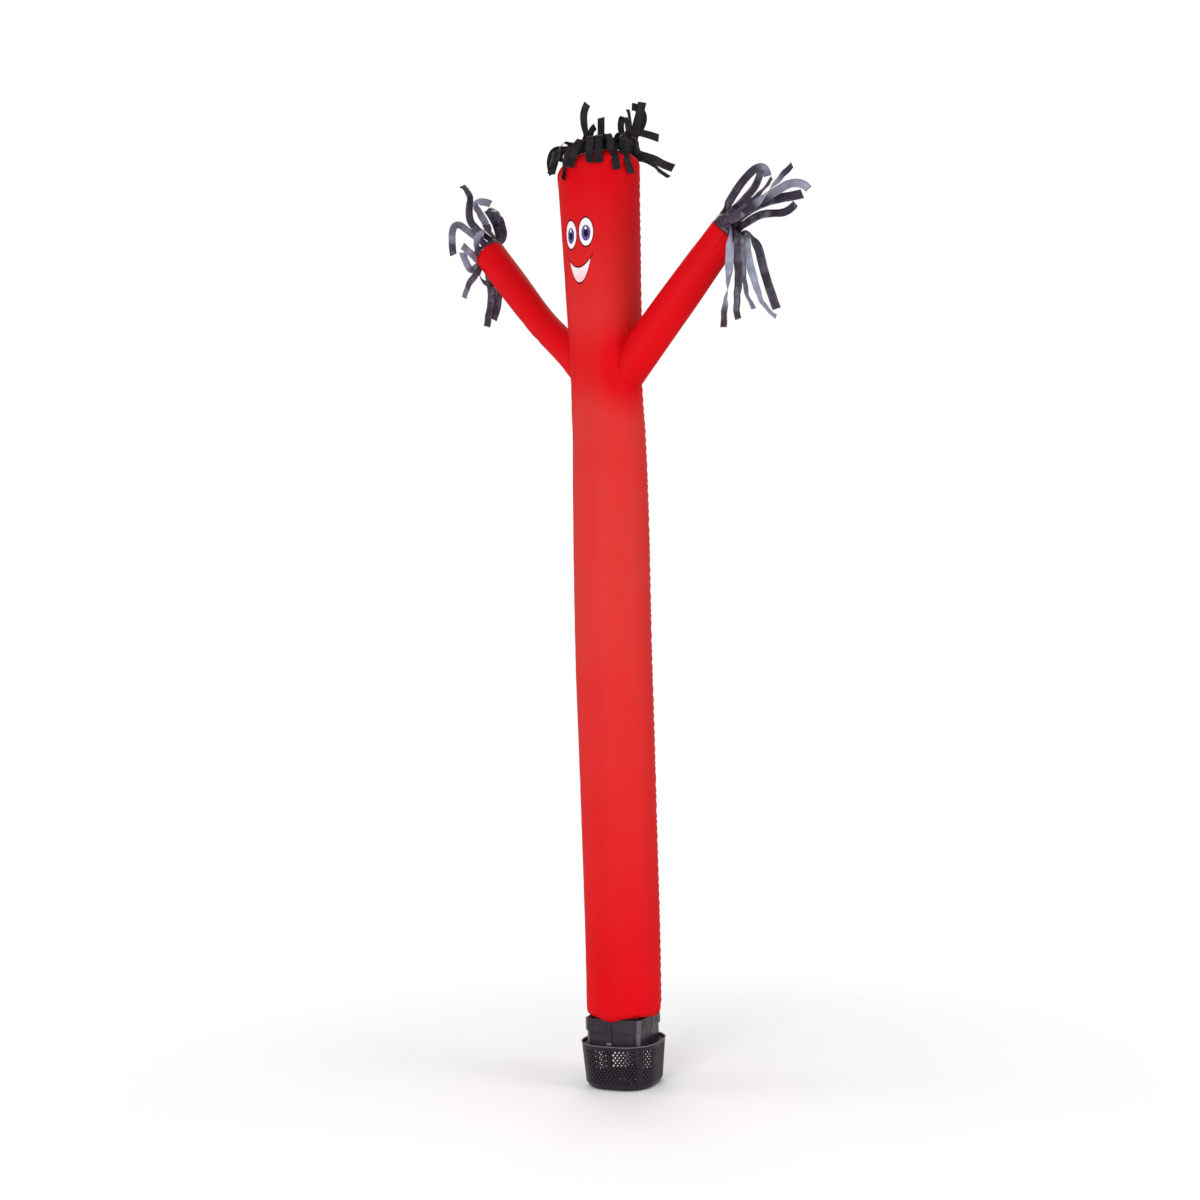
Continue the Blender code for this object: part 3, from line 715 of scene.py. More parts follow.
def makeSleeve(name):
    sizes = sleeveSet[name]
    mouth = sizes["rings"][-1][0]
    mesh = bmesh.new()
    roots = {}

    def spot(u, v):
        turn = u * 2 * math.pi
        key = round(u * sleeveSet["around"]) % sleeveSet["around"]
        if key not in roots:
            roots[key] = sleeveRoot(name, turn) - sleeveSet["tuck"]
        root = roots[key]
        distance = root + (mouth - root) * (0.35 * v * v + 0.65 * v)
        past, short = distance - root - sleeveSet["tuck"], mouth - distance
        lift = 0.0
        for at, bearing, length, slant, depth, width in sizes["folds"]:
            off = turnPast(math.degrees(turn), bearing)
            lift += foldRise(distance - at, math.radians(off) * sleeveSet["foldRadius"],
                             length, slant, depth, width)
        gather = math.sin(turn * sleeveSet["rootGathers"] + 1.6 * math.sin(turn * 3 + 1))
        lift += sizes["pucker"] * gather * math.exp(-abs(past) / 0.02) * min(1, abs(past) / 0.006)
        lift -= 0.0014 * fade(past, 0.005)
        gather = math.sin(turn * sleeveSet["mouthGathers"] + 1.9 * math.sin(turn * 2))
        lift += 0.0011 * gather * math.exp(-short / 0.022)
        lift += 0.0010 * ripple(2 * math.cos(turn), 2 * math.sin(turn), distance * 7, 11.0)
        return sleeveSpot(name, distance, turn, lift)

    clothGrid(mesh, sleeveSet["around"], sleeveSet["rows"], spot,
              lambda u, v: (2.0 + u * 0.37, v * 0.55), closed=True)
    bmesh.ops.recalc_face_normals(mesh, faces=mesh.faces)
    made = toObject("nylonSleeve" + name.capitalize(), mesh, redNylon)
    thicken(made, sleeveSet["thickness"])
    mount(made, "red_nylon", "arm_" + name)
    return made


sleeveRight = makeSleeve("right")
sleeveLeft = makeSleeve("left")
print("sleeves sewn")


bandAround, bandRows = 96, 3
# the last three columns give each strip's painted sheen, in hundredths: where along it the sheen
# starts, its share, and its share at the tip
stripColumns = ("angle", "width", "length", "turn1", "rise1", "turn2", "rise2", "turn3", "rise3",
                "turn4", "rise4", "look", "twist", "from", "sheenShare", "tipSheen")


def shortStrip(angle, length):
    # a strip that hops over its band and hangs down against the head
    width = 22
    return (angle, width, length, turnPast(angle, 90), 32, turnPast(angle, 78), -38,
            turnPast(angle, 98), -78, turnPast(angle, 85), -82, angle, 0, 0, 0, 0)


hairSet = {
    "radius": 0.095, "band": 0.034, "flare": 0.35, "gap": 0.001,
    "bends": (0.0, 0.10, 0.40, 0.70, 1.0), "rows": 34, "curl": 0.0020, "fold": 0.0014,
    "backing": 0.002, "thickness": 0.0005,
    # the rows come from a fitting search, all but the second's and the short strips'
    "strips": (
        (9, 26, 139, -65, -4, -124, -55, -144, -75, -140, -73, 30, 0, 0, 0, 0),
        (25, 26, 128, -66, 20, -95, -86, -67, -79, -61, -74, 33, 0, 0, 0, 0),
        (38, 26, 135, -56, 20, -128, -88, -67, -78, -61, -72, 35, 0, 0, 0, 0),
        shortStrip(48, 104),
        (60, 26, 133, -56, -52, -21, -73, -27, -75, -6, -78, 40, 0, 0, 0, 0),
        shortStrip(70, 108),
        (80, 26, 142, -35, -70, -33, -61, 33, -75, 86, -63, 45, 20, 0, 10, 0),
        shortStrip(91, 98),
        (100, 24, 176, 172, 36, -13, 79, -34, -41, 125, -48, 60, 0, 0, 0, 0),
        (117, 28, 204, 124, -31, -39, 55, -5, 67, -19, 66, 35, 0, 0, 0, 0),
        (134, 28, 180, 94, -36, 23, -17, 39, -30, 36, -19, 35, 0, 0, 20, 0),
        (151, 24, 185, 94, -44, 25, -13, 45, -41, 43, -36, 98, 0, 0, 0, 0),
        (168, 26, 188, 108, 57, 31, 42, 61, -9, 54, -13, 35, 0, 0, 0, 0),
        (185, 26, 266, 131, 42, 19, 13, 43, 70, -137, 8, 35, 0, 0, 0, 0),
        (203, 22, 240, 126, 47, 24, 20, 95, 60, -109, 63, 92, 0, 0, 0, 0),
        (221, 24, 153, 53, 62, 46, 79, 84, 86, 91, 88, 40, 0, 0, 0, 0),
        (239, 22, 138, 16, 52, 107, 59, 168, 78, 16, 30, 65, 0, 0, 0, 0),
        (257, 24, 138, 12, 55, -178, 56, 145, -2, 44, -68, 60, 0, 0, 0, 0),
        (275, 24, 125, 50, 74, -178, 40, 173, -64, 135, -78, 80, 0, 0, 0, 0),
        shortStrip(284, 104),
        (293, 26, 175, 95, 19, -120, 2, -178, -73, 65, -66, 55, 0, 0, 0, 0),
        shortStrip(302, 110),
        (311, 26, 165, 96, 16, -95, -14, 180, -66, -168, -71, 35, 0, 0, 15, 0),
        shortStrip(321, 112),
        (331, 26, 170, -10, -16, -108, -36, 136, -72, 173, -75, 85, 0, 0, 40, 0),
        shortStrip(340, 108),
        (349, 24, 166, 37, -9, -140, 80, -70, 81, 13, 53, 75, 40, 0, 0, 0),
    ),
}
handSet = {
    "band": 0.014, "gap": 0.0003, "bends": (0.0, 0.09, 0.38, 0.69, 1.0), "rows": 60, "curl": 0.0022,
    "fold": 0.0018, "backing": 0.002, "thickness": 0.0005,
    # these rows come from a fitting search too
    "right": (
        (0, 26, 265, 47, 59, 25, 55, 47, 41, 109, -49, 35, 0, 0, 0, 55),
        (30, 24, 228, 99, 5, 2, 31, 14, 44, -37, 74, 70, 20, 0, 0, 0),
        (60, 24, 229, -9, -24, 39, 42, 27, 40, 11, 53, 35, 60, 0, 5, 0),
        (90, 26, 302, -24, -14, 39, 38, 21, 46, 15, 40, 40, 128, 40, 85, 0),
        (120, 26, 333, -107, -79, -180, -86, -160, -79, 131, -82, 38, 132, 0, 85, 0),
        (150, 26, 289, -105, -76, 84, -79, 178, -78, 80, -76, 35, 35, 0, 0, 0),
        (180, 24, 250, -105, -78, 109, -75, 84, -79, 48, -56, 62, 25, 0, 35, 60),
        (210, 26, 301, -81, -82, 55, -75, 45, -73, 35, -34, 40, 45, 0, 95, 80),
        (240, 28, 280, 62, -37, 73, -75, 59, -71, 61, -68, 35, 0, 0, 5, 0),
        (270, 25, 228, 19, 31, 84, 25, 29, -5, 29, 55, 72, 0, 0, 0, 0),
        (300, 30, 257, 36, 42, 45, 27, 38, 10, 38, 10, 35, 0, 0, 0, 0),
        (330, 27, 305, 33, 21, 32, 28, 21, 27, 80, -31, 35, 0, 45, 90, 75),
    ),
    "left": (
        (0, 26, 307, -66, 7, 127, 15, -72, 19, 70, -12, 35, 35, 30, 65, 85),
        (30, 26, 247, -101, 19, 159, 43, -27, 58, -163, 34, 35, 38, 0, 10, 0),
        (60, 24, 240, -160, 38, -104, 28, -94, -83, 55, -82, 35, 0, 0, 55, 0),
        (90, 24, 120, 125, -18, -60, 29, -16, 48, 2, -11, 60, 0, 0, 90, 85),
        (120, 24, 139, 87, -38, -81, 20, -90, 23, -87, 18, 35, 0, 0, 95, 85),
        (150, 26, 164, 52, -53, -110, -44, -127, -60, 173, -79, 92, 0, 0, 25, 85),
        (180, 24, 131, 170, -40, -68, -12, -164, 66, -113, 73, 40, 0, 0, 90, 70),
        (210, 24, 154, 165, -40, -58, -29, 65, -36, 141, -80, 105, 0, 0, 20, 10),
        (240, 28, 249, 147, -61, 35, -80, 178, -75, 178, -74, 35, 25, 0, 5, 0),
        (270, 28, 244, 124, -59, 78, -81, 156, -74, -167, -64, 45, -20, 0, 5, 0),
        (300, 28, 172, 117, 55, -151, 79, 173, 59, -176, 52, 35, 0, 0, 0, 0),
        (330, 26, 189, 101, 24, -61, 42, 164, 50, -175, 12, 55, 20, 0, 0, 0),
    ),
}


def headingOf(turn, rise):
    turn, rise = math.radians(turn), math.radians(rise)
    return Vector((math.cos(rise) * math.cos(turn), math.cos(rise) * math.sin(turn),
                   math.sin(rise)))


def blendHeading(way, bends, share):
    for k in range(4):
        if share <= bends[k + 1] or k == 3:
            weight = (share - bends[k]) / (bends[k + 1] - bends[k])
            return (way[k] * (1 - weight) + way[k + 1] * weight).normalized()


def stripFrames(corners, away, row, bends, rows):
    # the strip's middle, its width's direction and its face's, at each row
    place = sum(corners, Vector()) / 4
    wide = (corners[1] + corners[2] - corners[0] - corners[3]).normalized()
    face = (corners[0] + corners[1] - corners[2] - corners[3]).normalized()
    way = [away] + [headingOf(row[f"turn{k}"], row[f"rise{k}"]) for k in (1, 2, 3, 4)]
    hand = 1 if wide.cross(away).dot(face) > 0 else -1
    length = row["length"] / 1000
    look = headingOf(row["look"] - 90, 0.0)
    frames = [(place, wide, face)]
    for i in range(rows):
        place = place + blendHeading(way, bends, (i + 0.5) / rows) * (length / rows)
        ahead = blendHeading(way, bends, (i + 1.0) / rows)
        wide = (wide - ahead * wide.dot(ahead)).normalized()
        # once it is free of its band it turns the side that it shows, and rolls to its end
        shown = ahead.cross(look)
        if shown.length > 0.35:
            shown = shown.normalized() * (1 if shown.dot(wide) >= 0 else -1)
            free = eased((i / rows - 0.06) / 0.22) * 0.45
            wide = (wide * (1 - free) + shown * free).normalized()
        frames.append((place, wide, wide.cross(ahead) * hand))
    rolled = []
    for i, (place, wide, face) in enumerate(frames):
        roll = math.radians(row["twist"]) * eased((i / rows - 0.35) / 0.5)
        ahead = wide.cross(face)
        turnBy = Matrix.Rotation(roll, 3, ahead)
        rolled.append((place, turnBy @ wide, turnBy @ face))
    return rolled


def makeFringe(name, table, sizes, bandAt, radius, awayFrom, finish):
    mesh = bmesh.new()
    mesh.loops.layers.uv.new("cloth")
    mesh.loops.layers.uv.new("tone")
    cloth, rows = sizes["backing"], sizes["rows"]

    def topSpot(angle, depth):
        return bandAt(angle, depth, sizes["band"])

    def bandSpot(u, v):
        low, high = bandAt(u * 360.0, cloth / 2, 0.0), topSpot(u * 360.0, cloth / 2)
        out = (topSpot(u * 360.0, 0.0) - topSpot(u * 360.0, cloth)).normalized()
        wave = 0.0004 * math.sin(u * 2 * math.pi * 23) * math.sin(v * math.pi)
        return low.lerp(high, v) + out * wave

    clothGrid(mesh, bandAround, bandRows, bandSpot,
              lambda u, v: (0.5 + u * 2 * math.pi * radius, 3.0 + v * sizes["band"]), closed=True)
    for number, values in enumerate(table):
        row = dict(zip(stripColumns, values))
        half = math.degrees(math.asin(min(0.99, row["width"] / 2000 / radius)))
        a, b = row["angle"] - half, row["angle"] + half
        corners = [topSpot(a, 0.0), topSpot(b, 0.0), topSpot(b, cloth), topSpot(a, cloth)]
        frames = stripFrames(corners, awayFrom(row["angle"]), row, sizes["bends"], rows)
        width, length = row["width"] / 1000, row["length"] / 1000
        bow = width * width / (8 * radius)
        slant = 0.003 * math.sin(number * 2.4)

        def foldAt(v):
            # the strip was packed flat, so it keeps a fold every five centimetres or so
            return v * length * 19 + number * 0.37 + 0.3 * ripple(number * 0.7, v * 4.0, 0.0, 3.0)

        def spot(u, v):
            k = min(int(v * rows + 1e-6), rows - 1)
            share = v * rows - k
            place = frames[k][0].lerp(frames[k + 1][0], share)
            wide = frames[k][1].lerp(frames[k + 1][1], share).normalized()
            face = frames[k][2].lerp(frames[k + 1][2], share).normalized()
            across = 2 * u - 1
            settle = max(0.0, 1 - v * 7)
            curl = bow * settle + sizes["curl"] * (1 - settle) * (
                0.4 + ripple(number * 1.7, v * 3.0, 0.0, 2.0))
            fold = foldAt(v) + 0.12 * across * math.sin(number * 1.9)
            wave = sizes["fold"] * (1 - settle) * (4 * abs(fold % 1.0 - 0.5) - 1)
            wave += 0.0016 * (1 - settle) * ripple(number * 2.3, v * length * 22, 0.0, 8.0)
            wave += 0.0010 * (1 - settle) * ripple(number * 0.9, v * length * 70, u * 2, 5.0)
            trim = frames[k + 1][0] - frames[k][0]
            tail = trim.normalized() * slant * across * max(0.0, v - 0.9) * 10
            return place + wide * across * width / 2 + face * (
                curl * (1 - across * across) - curl * 0.5 * (1 - settle) + wave) + tail

        def tone(v):
            # painted sheen along the strip, rising to its tip's share; each fold's facet is painted a
            # little lighter or darker, as if lit at its own angle
            level = row["sheenShare"] + (row["tipSheen"] - row["sheenShare"]) * eased((v - 0.72) / 0.16)
            level = level / 100 * eased((v - 0.02 - row["from"] / 100) / 0.12)
            return max(0.0, level + 0.09 * math.sin(number * 5.1 + 2.3 * int(foldAt(v))))

        clothGrid(mesh, 4, rows, spot, lambda u, v: (number * 0.1 + u * width, v * length), tone)
    bmesh.ops.remove_doubles(mesh, verts=mesh.verts, dist=1e-6)
    made = toObject(name, mesh, finish)
    thicken(made, sizes["thickness"], 0.0)
    area = sum(r[1] * r[2] for r in table) / 1e6 + 2 * math.pi * radius * sizes["band"]
    return made, area


def makeHair(sizes):
    def spot(angle, depth, lift):
        turn = math.radians(angle)
        radius = sizes["radius"] - depth + lift * sizes["flare"]
        x, y = radius * math.sin(turn), -radius * math.cos(turn)
        return Vector((x, y, crownHeight(x, y) + sizes["gap"] + lift))

    def away(angle):
        turn = math.radians(angle)
        return Vector((sizes["flare"] * math.sin(turn), -sizes["flare"] * math.cos(turn),
                       1)).normalized()

    made, area = makeFringe("hairStrips", sizes["strips"], sizes, spot, sizes["radius"], away,
                            hairNylon)
    mount(made, "black_nylon", "hair_fringe")
    return made, area


def makeHand(name, sizes):
    start, along, up, front = sleeveFrame(name)
    reach, radius = sleeveSet[name]["rings"][-1][:2]

    def spot(angle, depth, lift):
        turn = math.radians(angle)
        arm = up * math.cos(turn) + front * math.sin(turn)
        return start + along * (reach + sizes["gap"] + lift) + arm * (radius - depth)

    made, area = makeFringe("handStrips" + name.capitalize(), sizes[name], sizes, spot, radius,
                            lambda angle: along, handNylon)
    mount(made, "black_nylon", "streamers_" + name)
    return made, area


hairStrips, hairArea = makeHair(hairSet)
handRight, handRightArea = makeHand("right", handSet)
handLeft, handLeftArea = makeHand("left", handSet)
print("fringes cut")


yaw = math.radians(12.5)


def plasticFinish(name, sizes, rim=None, paintedFacetLight=False):
    made = Finish(name, sizes["colour"], sizes["roughness"], Specular_IOR_Level=sizes["gloss"])
    grain = made.noise(made.place(), 1400.0, 1.0)
    cloud = made.noise(made.place(), 26.0, 3.0)
    streak = made.noise(made.scaled(made.place(), (60.0, 60.0, 9.0)), 1.0, 2.0)
    shade = (cloud * 0.6 + streak * 0.4 - 0.3) * 2.3
    colour = made.blend(shade.clamped(), sizes["deep"], sizes["colour"])
    if rim:
        # painted highlight: the rolled edge is painted paler, as if it catches the light
        level = made.parts(made.place())[2]
        highlightShare = ((level - rim) * 420.0).clamped() * (0.55 + cloud * 0.8)
        colour = made.blend(highlightShare.clamped(), colour, sizes["paintedHighlight"])
    # painted highlight on the faces that the mesh marks pale
    if paintedFacetLight:
        highlightShare = made.parts(made.uv("tone"))[0] * (0.5 + streak * 0.9)
        colour = made.blend(highlightShare.clamped(), colour, sizes["paintedHighlight"])
    made.feed("Base Color", colour)
    made.feed("Roughness", (sizes["roughness"] - 0.07 + cloud * 0.14).clamped())
    made.relief((grain, 0.00012, 0.5), (cloud, 0.0004, 0.2))
    return made


# the basket's rim and the collar's cut corners and ledges are painted paler, a painted highlight
basketPlastic = plasticFinish("basketPlastic", {
    "colour": (0.0150, 0.0100, 0.0165), "deep": (0.0080, 0.0055, 0.0090), "roughness": 0.42,
    "gloss": 0.24, "paintedHighlight": (0.15, 0.118, 0.160)}, rim=0.1452)
collarPlastic = plasticFinish("collarPlastic", {
    "colour": (0.0260, 0.0180, 0.0290), "deep": (0.0135, 0.0095, 0.0150), "roughness": 0.36,
    "gloss": 0.34, "paintedHighlight": (0.135, 0.104, 0.142)}, paintedFacetLight=True)
glandPlastic = plasticFinish("glandPlastic", {
    "colour": (0.0210, 0.0145, 0.0225), "deep": (0.0120, 0.0085, 0.0130), "roughness": 0.42,
    "gloss": 0.28})
palePlastic = plasticFinish("palePlastic", {
    "colour": (0.20, 0.17, 0.19), "deep": (0.14, 0.12, 0.14), "roughness": 0.5, "gloss": 0.4})

basketSet = {
    "columns": 60, "halfRows": 14, "netLow": 0.018, "netHigh": 0.138, "ribHalf": 0.8,
    "bar": 0.0021, "holeRound": 0.0011, "corner": 0.77, "wall": 0.0030,
    "profile": ((0.0, 0.1040), (0.004, 0.1105), (0.018, 0.1190), (0.138, 0.1292),
                (0.150, 0.1300)),
    "above": ((0.1405, 0.0), (0.1455, 0.0), (0.1462, -0.0014), (0.1488, -0.0016),
              (0.1497, -0.0008)),
    "below": ((0.0165, 0.0), (0.0110, 0.0), (0.0070, 0.0), (0.0040, 0.0), (0.0018, 0.0010),
              (0.0006, 0.0032), (0.0001, 0.0070)),
    "floor": (0.80, 0.64, 0.28, 0.22),
}


def straightThrough(table, key):
    for low, high in zip(table, table[1:]):
        if key <= high[0]:
            share = (key - low[0]) / (high[0] - low[0])
            return low[1] + (high[1] - low[1]) * share
    return table[-1][1]


def basketSpot(way, level, inset):
    # a point of the rounded square at a share of the way round, from the middle of its front
    half = straightThrough(basketSet["profile"], level)
    corner = half * basketSet["corner"] - inset
    half -= inset
    straight = half - corner
    arc = math.pi / 2 * corner
    side = 2 * straight + arc
    quarter, run = divmod((way % 1.0) * 4 * side, side)
    if run <= straight:
        x, y = run, -half
    elif run < straight + arc:
        turn = (run - straight) / corner
        x, y = straight + corner * math.sin(turn), -straight - corner * math.cos(turn)
    else:
        x, y = half, -straight + (run - straight - arc)
    for _ in range(int(quarter) % 4):
        x, y = -y, x
    c, s = math.cos(yaw), math.sin(yaw)
    return Vector((x * c - y * s, x * s + y * c, level))


def makeBasket(sizes):
    mesh = bmesh.new()
    wide, tall = 2 * sizes["columns"], sizes["halfRows"]
    cells = (wide + tall) // 2
    bmesh.ops.create_grid(mesh, x_segments=cells, y_segments=cells, size=cells / 2)
    for vert in mesh.verts:
        a, b = vert.co.x + cells / 2, vert.co.y + cells / 2 - wide / 2
        vert.co = Vector((round(a - b), round(a + b), 0.0))
    for spot, normal in (((0, 0, 0), (-1, 0, 0)), ((wide, 0, 0), (1, 0, 0)),
                         ((0, 0, 0), (0, -1, 0)), ((0, tall, 0), (0, 1, 0))):
        bmesh.ops.bisect_plane(mesh, geom=[*mesh.verts, *mesh.edges, *mesh.faces], dist=1e-4,
                               plane_co=spot, plane_no=normal, clear_outer=True)
    net = []
    for face in mesh.faces:
        middle = face.calc_center_bounds()
        column = middle.x / 2 % (sizes["columns"] / 4)
        column = min(column, sizes["columns"] / 4 - column)
        if len(face.verts) == 4 and 0.5 < middle.y < tall - 0.5 and column > sizes["ribHalf"]:
            net.append(face)
    way = mesh.verts.layers.float.new("way")
    for vert in mesh.verts:
        vert[way] = vert.co.x / wide + 0.125
        level = sizes["netLow"] + (sizes["netHigh"] - sizes["netLow"]) * vert.co.y / tall
        vert.co = basketSpot(vert[way], level, 0.0)
    bmesh.ops.remove_doubles(mesh, verts=mesh.verts, dist=1e-5)
    net = [face for face in net if face.is_valid]

    def ringAt(level):
        return [edge for edge in mesh.edges if edge.is_boundary
                and all(abs(vert.co.z - level) < 1e-5 for vert in edge.verts)]

    rim, foot = ringAt(sizes["netHigh"]), ringAt(sizes["netLow"])
    for edges, rows in ((rim, sizes["above"]), (foot, sizes["below"])):
        for level, inset in rows:
            edges, verts, _ = growRow(mesh, edges)
            for vert in verts:
                vert.co = basketSpot(vert[way], level, inset)
    slots = []
    level, inset = sizes["below"][-1]
    for row, share in enumerate(sizes["floor"]):
        edges, verts, faces = growRow(mesh, edges)
        for vert in verts:
            vert.co = basketSpot(vert[way], level, inset)
            vert.co.x, vert.co.y = vert.co.x * share, vert.co.y * share
        if row == 2:  # the underside's ring of slots
            for face in faces:
                turn = math.atan2(*face.calc_center_median().xy)
                if int(turn / (2 * math.pi) * sizes["columns"] + 200) % 4 in (1, 2):
                    slots.append(face)
    bmesh.ops.holes_fill(mesh, edges=edges, sides=0)
    bmesh.ops.inset_individual(mesh, faces=net, thickness=sizes["bar"], use_even_offset=True)
    # kept in order, where a set would differ from run to run
    corners = list(dict.fromkeys(vert for face in net for vert in face.verts))
    bmesh.ops.delete(mesh, geom=net + slots, context="FACES")
    bmesh.ops.bevel(mesh, geom=corners, offset=sizes["holeRound"], segments=1, profile=0.5,
                    affect="VERTICES", material=-1)
    faceOutward(mesh)
    putInOrder(mesh)
    made = toObject("netBasket", mesh, basketPlastic, sharp=35)
    thicken(made, sizes["wall"])
    mount(made, "black_plastic", "blower_basket")
    return made


collarSet = {
    "foot": 0.1400, "ledge": 0.190, "top": 0.231, "neckTop": 0.275, "wall": 0.003,
    "corner": 0.138, "side": 0.103, "step": 0.006, "neck": 0.0945,
    "chamfer": 0.0100, "groove": 0.0024, "grooveDepth": 0.0042,
    "ledgeRise": 0.0006, "lip": 0.001, "edgeRound": 0.0006, "slotTaper": 0.0002,
    # the moulded slots: facet, share along it, height, width, height of the slot, depth
    "slots": (
        (0, 0.52, 0.1825, 0.064, 0.0030, 0.0030), (0, 0.38, 0.1740, 0.036, 0.0026, 0.0026),
        (7, 0.50, 0.1825, 0.062, 0.0030, 0.0030), (7, 0.60, 0.1740, 0.036, 0.0026, 0.0026),
        (0, 0.86, 0.1600, 0.0042, 0.026, 0.0032), (0, 0.77, 0.1712, 0.011, 0.0030, 0.0026),
        (1, 0.12, 0.2110, 0.0026, 0.030, 0.0026), (1, 0.26, 0.2110, 0.0026, 0.030, 0.0026),
        (1, 0.40, 0.2110, 0.0026, 0.030, 0.0026), (1, 0.62, 0.1650, 0.036, 0.0018, 0.0016),
        (1, 0.62, 0.1710, 0.036, 0.0018, 0.0016), (1, 0.62, 0.1770, 0.036, 0.0018, 0.0016),
        (2, 0.50, 0.2060, 0.040, 0.0018, 0.0016), (2, 0.50, 0.2120, 0.040, 0.0018, 0.0016),
        (2, 0.50, 0.2000, 0.040, 0.0018, 0.0016), (3, 0.50, 0.1815, 0.058, 0.0016, 0.0014),
        (4, 0.50, 0.1815, 0.058, 0.0016, 0.0014), (5, 0.50, 0.2060, 0.040, 0.0018, 0.0016),
        (5, 0.50, 0.2120, 0.040, 0.0018, 0.0016), (6, 0.50, 0.1815, 0.058, 0.0016, 0.0014),
    ),
}


def collarPost(k):
    # the eight-sided housing's corners stand out further than the middles of its sides
    turn = math.radians(45 * k) + yaw
    reach = collarSet["corner"] if k % 2 else collarSet["side"]
    return Vector((reach * math.sin(turn), -reach * math.cos(turn), 0.0))


def collarSpot(number, level, shrink):
    # two points a post: a chamfer at each corner and a groove at the middle of each side
    k, after = divmod(number, 2)
    post, near = collarPost(k), collarPost(k + 1 if after else k - 1)
    cut = collarSet["chamfer"] if k % 2 else collarSet["groove"]
    spot = post + (near - post).normalized() * cut
    return spot * (1 - shrink / post.length) + Vector((0, 0, level))


def sinkSlot(mesh, slot):
    facet, share, level, wide, tall, depth = slot
    start, end = collarSpot(2 * facet + 1, 0.0, 0.0), collarSpot((2 * facet + 2) % 16, 0.0, 0.0)
    along = (end - start).normalized()
    out = Vector((along.y, -along.x, 0.0))
    middle = start.lerp(end, share) + Vector((0, 0, level))
    panel = [face for face in mesh.faces if face.normal.dot(out) > 0.999
             and abs((face.calc_center_bounds() - start).dot(along) - (end - start).length / 2)
             < (end - start).length / 2 and abs((face.calc_center_bounds() - middle).z) < 0.05]
    for way, half in ((along, wide / 2), (along, -wide / 2), (Vector((0, 0, 1)), tall / 2),
                      (Vector((0, 0, 1)), -tall / 2)):
        around = list(dict.fromkeys(part for face in panel
                                    for part in (*face.verts, *face.edges, face)))
        cut = bmesh.ops.bisect_plane(mesh, geom=around, dist=1e-5,
                                     plane_co=middle + way * half, plane_no=way)
        panel = [part for part in cut["geom"] if isinstance(part, bmesh.types.BMFace)]
    inside = [face for face in panel
              if abs((face.calc_center_median() - middle).dot(along)) < wide / 2
              and abs((face.calc_center_median() - middle).z) < tall / 2]
    bmesh.ops.inset_region(mesh, faces=inside, thickness=collarSet["slotTaper"], depth=-depth,
                           use_even_offset=True)


def makeCollar(sizes):
    mesh = bmesh.new()
    post = mesh.verts.layers.int.new("post")
    ring = bmesh.ops.create_circle(mesh, segments=16, radius=1.0)["verts"]
    for number, vert in enumerate(sorted(ring, key=lambda v: math.atan2(v.co.x, -v.co.y)
                                         % (2 * math.pi - 1e-6))):
        vert[post] = number
        vert.co = collarSpot(number, sizes["foot"], sizes["step"])
    edges = list(mesh.edges)
    grooves = []
    for level, shrink in ((sizes["ledge"], sizes["step"]), (sizes["ledge"] + sizes["ledgeRise"], 0.0),
                          (sizes["top"], 0.0)):
        edges, verts, faces = growRow(mesh, edges)
        for vert in verts:
            vert.co = collarSpot(vert[post], level, shrink)
        for face in faces:
            numbers = {vert[post] for vert in face.verts}
            if len(numbers) == 2 and min(numbers) % 4 == 0 and max(numbers) == min(numbers) + 1:
                grooves.append(face)
    # the top runs in to the neck
    bmesh.ops.create_circle(mesh, segments=48, radius=sizes["neck"],
                            matrix=Matrix.Translation((0, 0, sizes["top"])))
    loop = [edge for edge in mesh.edges if edge.is_wire]
    bmesh.ops.bridge_loops(mesh, edges=edges + loop)
    edges = loop
    for radius, level in ((sizes["neck"], sizes["neckTop"] - sizes["lip"]),
                          (sizes["neck"] - sizes["lip"], sizes["neckTop"])):
        edges, verts, _ = growRow(mesh, edges)
        for vert in verts:
            flat = Vector((vert.co.x, vert.co.y, 0)).normalized() * radius
            vert.co = Vector((flat.x, flat.y, level))
    faceOutward(mesh)
    bmesh.ops.inset_region(mesh, faces=grooves, thickness=0.0003, depth=-sizes["grooveDepth"],
                           use_even_offset=True, use_boundary=False)
    for slot in sizes["slots"]:
        sinkSlot(mesh, slot)
    long = [edge for edge in mesh.edges if len(edge.link_faces) == 2
            and edge.calc_face_angle(0.0) > math.radians(25) and edge.calc_length() > 0.006
            and all(face.calc_area() > 6e-5 for face in edge.link_faces)]
    bmesh.ops.bevel(mesh, geom=long, offset=sizes["edgeRound"], segments=2, profile=0.5, affect="EDGES",
                    material=-1, clamp_overlap=True)
    # painted highlight: the cut corners and the ledges are painted paler than the flat sides, as if
    # they catch the light
    tone = mesh.loops.layers.uv.new("tone")
    for face in mesh.faces:
        turn = math.degrees(math.atan2(face.normal.x, -face.normal.y) - yaw) % 90
        paintedFacetLight = abs(turn - 45) < 12 and abs(face.normal.z) < 0.4
        paintedFacetLight = 0.75 if paintedFacetLight else 0.45 if face.normal.z > 0.4 and face.calc_area() < 1e-4 else 0.0
        for loop in face.loops:
            loop[tone].uv = (paintedFacetLight, 0.0)
    putInOrder(mesh)
    made = toObject("housingCollar", mesh, collarPlastic, smooth=False)
    thicken(made, sizes["wall"])
    mount(made, "black_plastic", "blower_collar")
    return made


netBasket = makeBasket(basketSet)
housingCollar = makeCollar(collarSet)
for node, finish in (("blower_deck", basketPlastic), ("latch_tab", palePlastic),
                     ("cord_gland", glandPlastic)):
    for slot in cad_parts[node].material_slots:
        slot.material = finish.material
print("blower made")


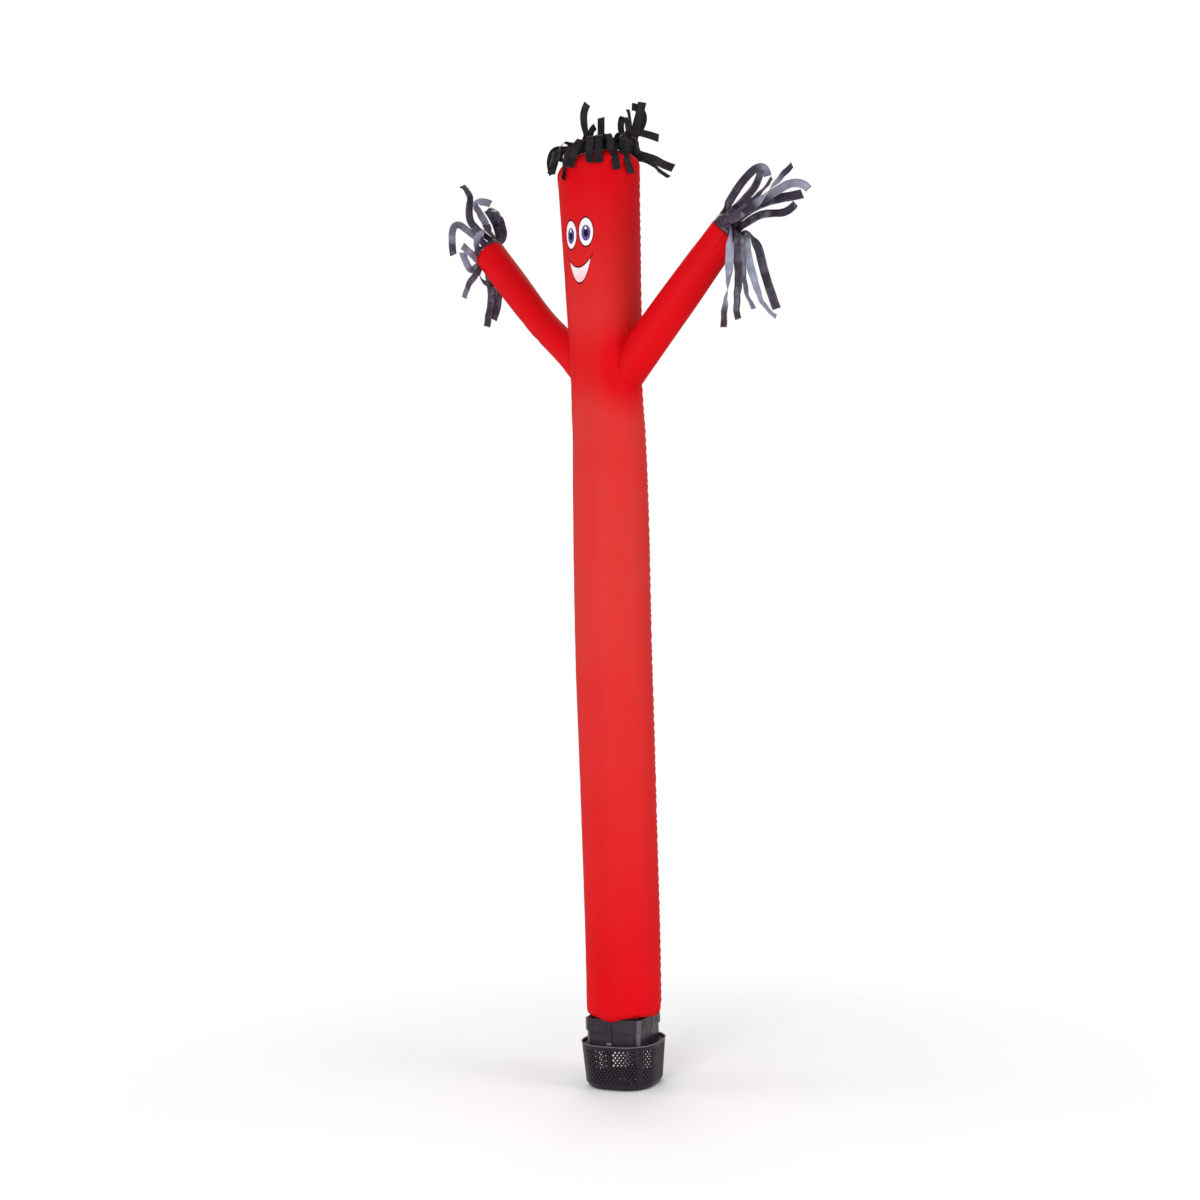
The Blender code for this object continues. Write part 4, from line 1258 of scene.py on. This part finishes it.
stageSet = {
    "floor": (0.93, 0.93, 0.93), "floorReach": 1.9, "floorFade": 1.5, "world": 0.55,
    "aim": 1.7,  # height that the lights point at
    # name, azimuth, distance, height, width, height of the panel, power
    "lights": (
        ("key", 14.0, 4.2, 1.75, 1.8, 2.4, 116.0),
        ("fill", 95.0, 4.6, 1.7, 2.0, 3.0, 92.0),
        ("side", -62.0, 4.6, 1.7, 2.0, 3.0, 44.0),
        ("back", -145.0, 3.0, 5.2, 2.4, 2.4, 60.0),
    ),
}


def makeStage(sizes):
    mesh = bmesh.new()
    bmesh.ops.create_grid(mesh, x_segments=1, y_segments=1, size=30.0,
                          matrix=Matrix.Translation((0, 0, -0.0008)))
    paper = Finish("paleFloor", sizes["floor"], 0.9, Specular_IOR_Level=0.1)
    # the sheet thins out into the white round it, so that no edge or horizon shows
    x, y = paper.parts(paper.place())[:2]
    away = (x * x + y * y).maths("SQRT")
    paper.feed("Alpha", ((sizes["floorReach"] - away) / sizes["floorFade"]).clamped())
    made = toObject("floor", mesh, paper, smooth=False)
    world = bpy.data.worlds.new("studio")
    world.use_nodes = True
    sky = world.node_tree.nodes["Background"]
    sky.inputs["Color"].default_value = (1.0, 1.0, 1.0, 1.0)
    # the backdrop is white, and gives less light than it shows
    path = world.node_tree.nodes.new("ShaderNodeLightPath")
    level = world.node_tree.nodes.new("ShaderNodeMapRange")
    level.inputs["To Min"].default_value = sizes["world"]
    level.inputs["To Max"].default_value = 1.0
    world.node_tree.links.new(path.outputs["Is Camera Ray"], level.inputs["Value"])
    world.node_tree.links.new(level.outputs["Result"], sky.inputs["Strength"])
    bpy.context.scene.world = world
    bpy.context.scene.view_settings.view_transform = "Standard"
    for name, azimuth, distance, height, wide, tall, power in sizes["lights"]:
        turn = math.radians(azimuth)
        data = bpy.data.lights.new(name, "AREA")
        data.shape, data.size, data.size_y, data.energy = "RECTANGLE", wide, tall, power
        lamp = bpy.data.objects.new(name, data)
        bpy.context.scene.collection.objects.link(lamp)
        place = Vector((math.sin(turn) * distance, -math.cos(turn) * distance, height))
        look = (Vector((0, 0, sizes["aim"])) - place).normalized().to_track_quat("-Z", "Y")
        lamp.matrix_world = Matrix.Translation(place) @ look.to_matrix().to_4x4()


makeStage(stageSet)
print("stage lit")
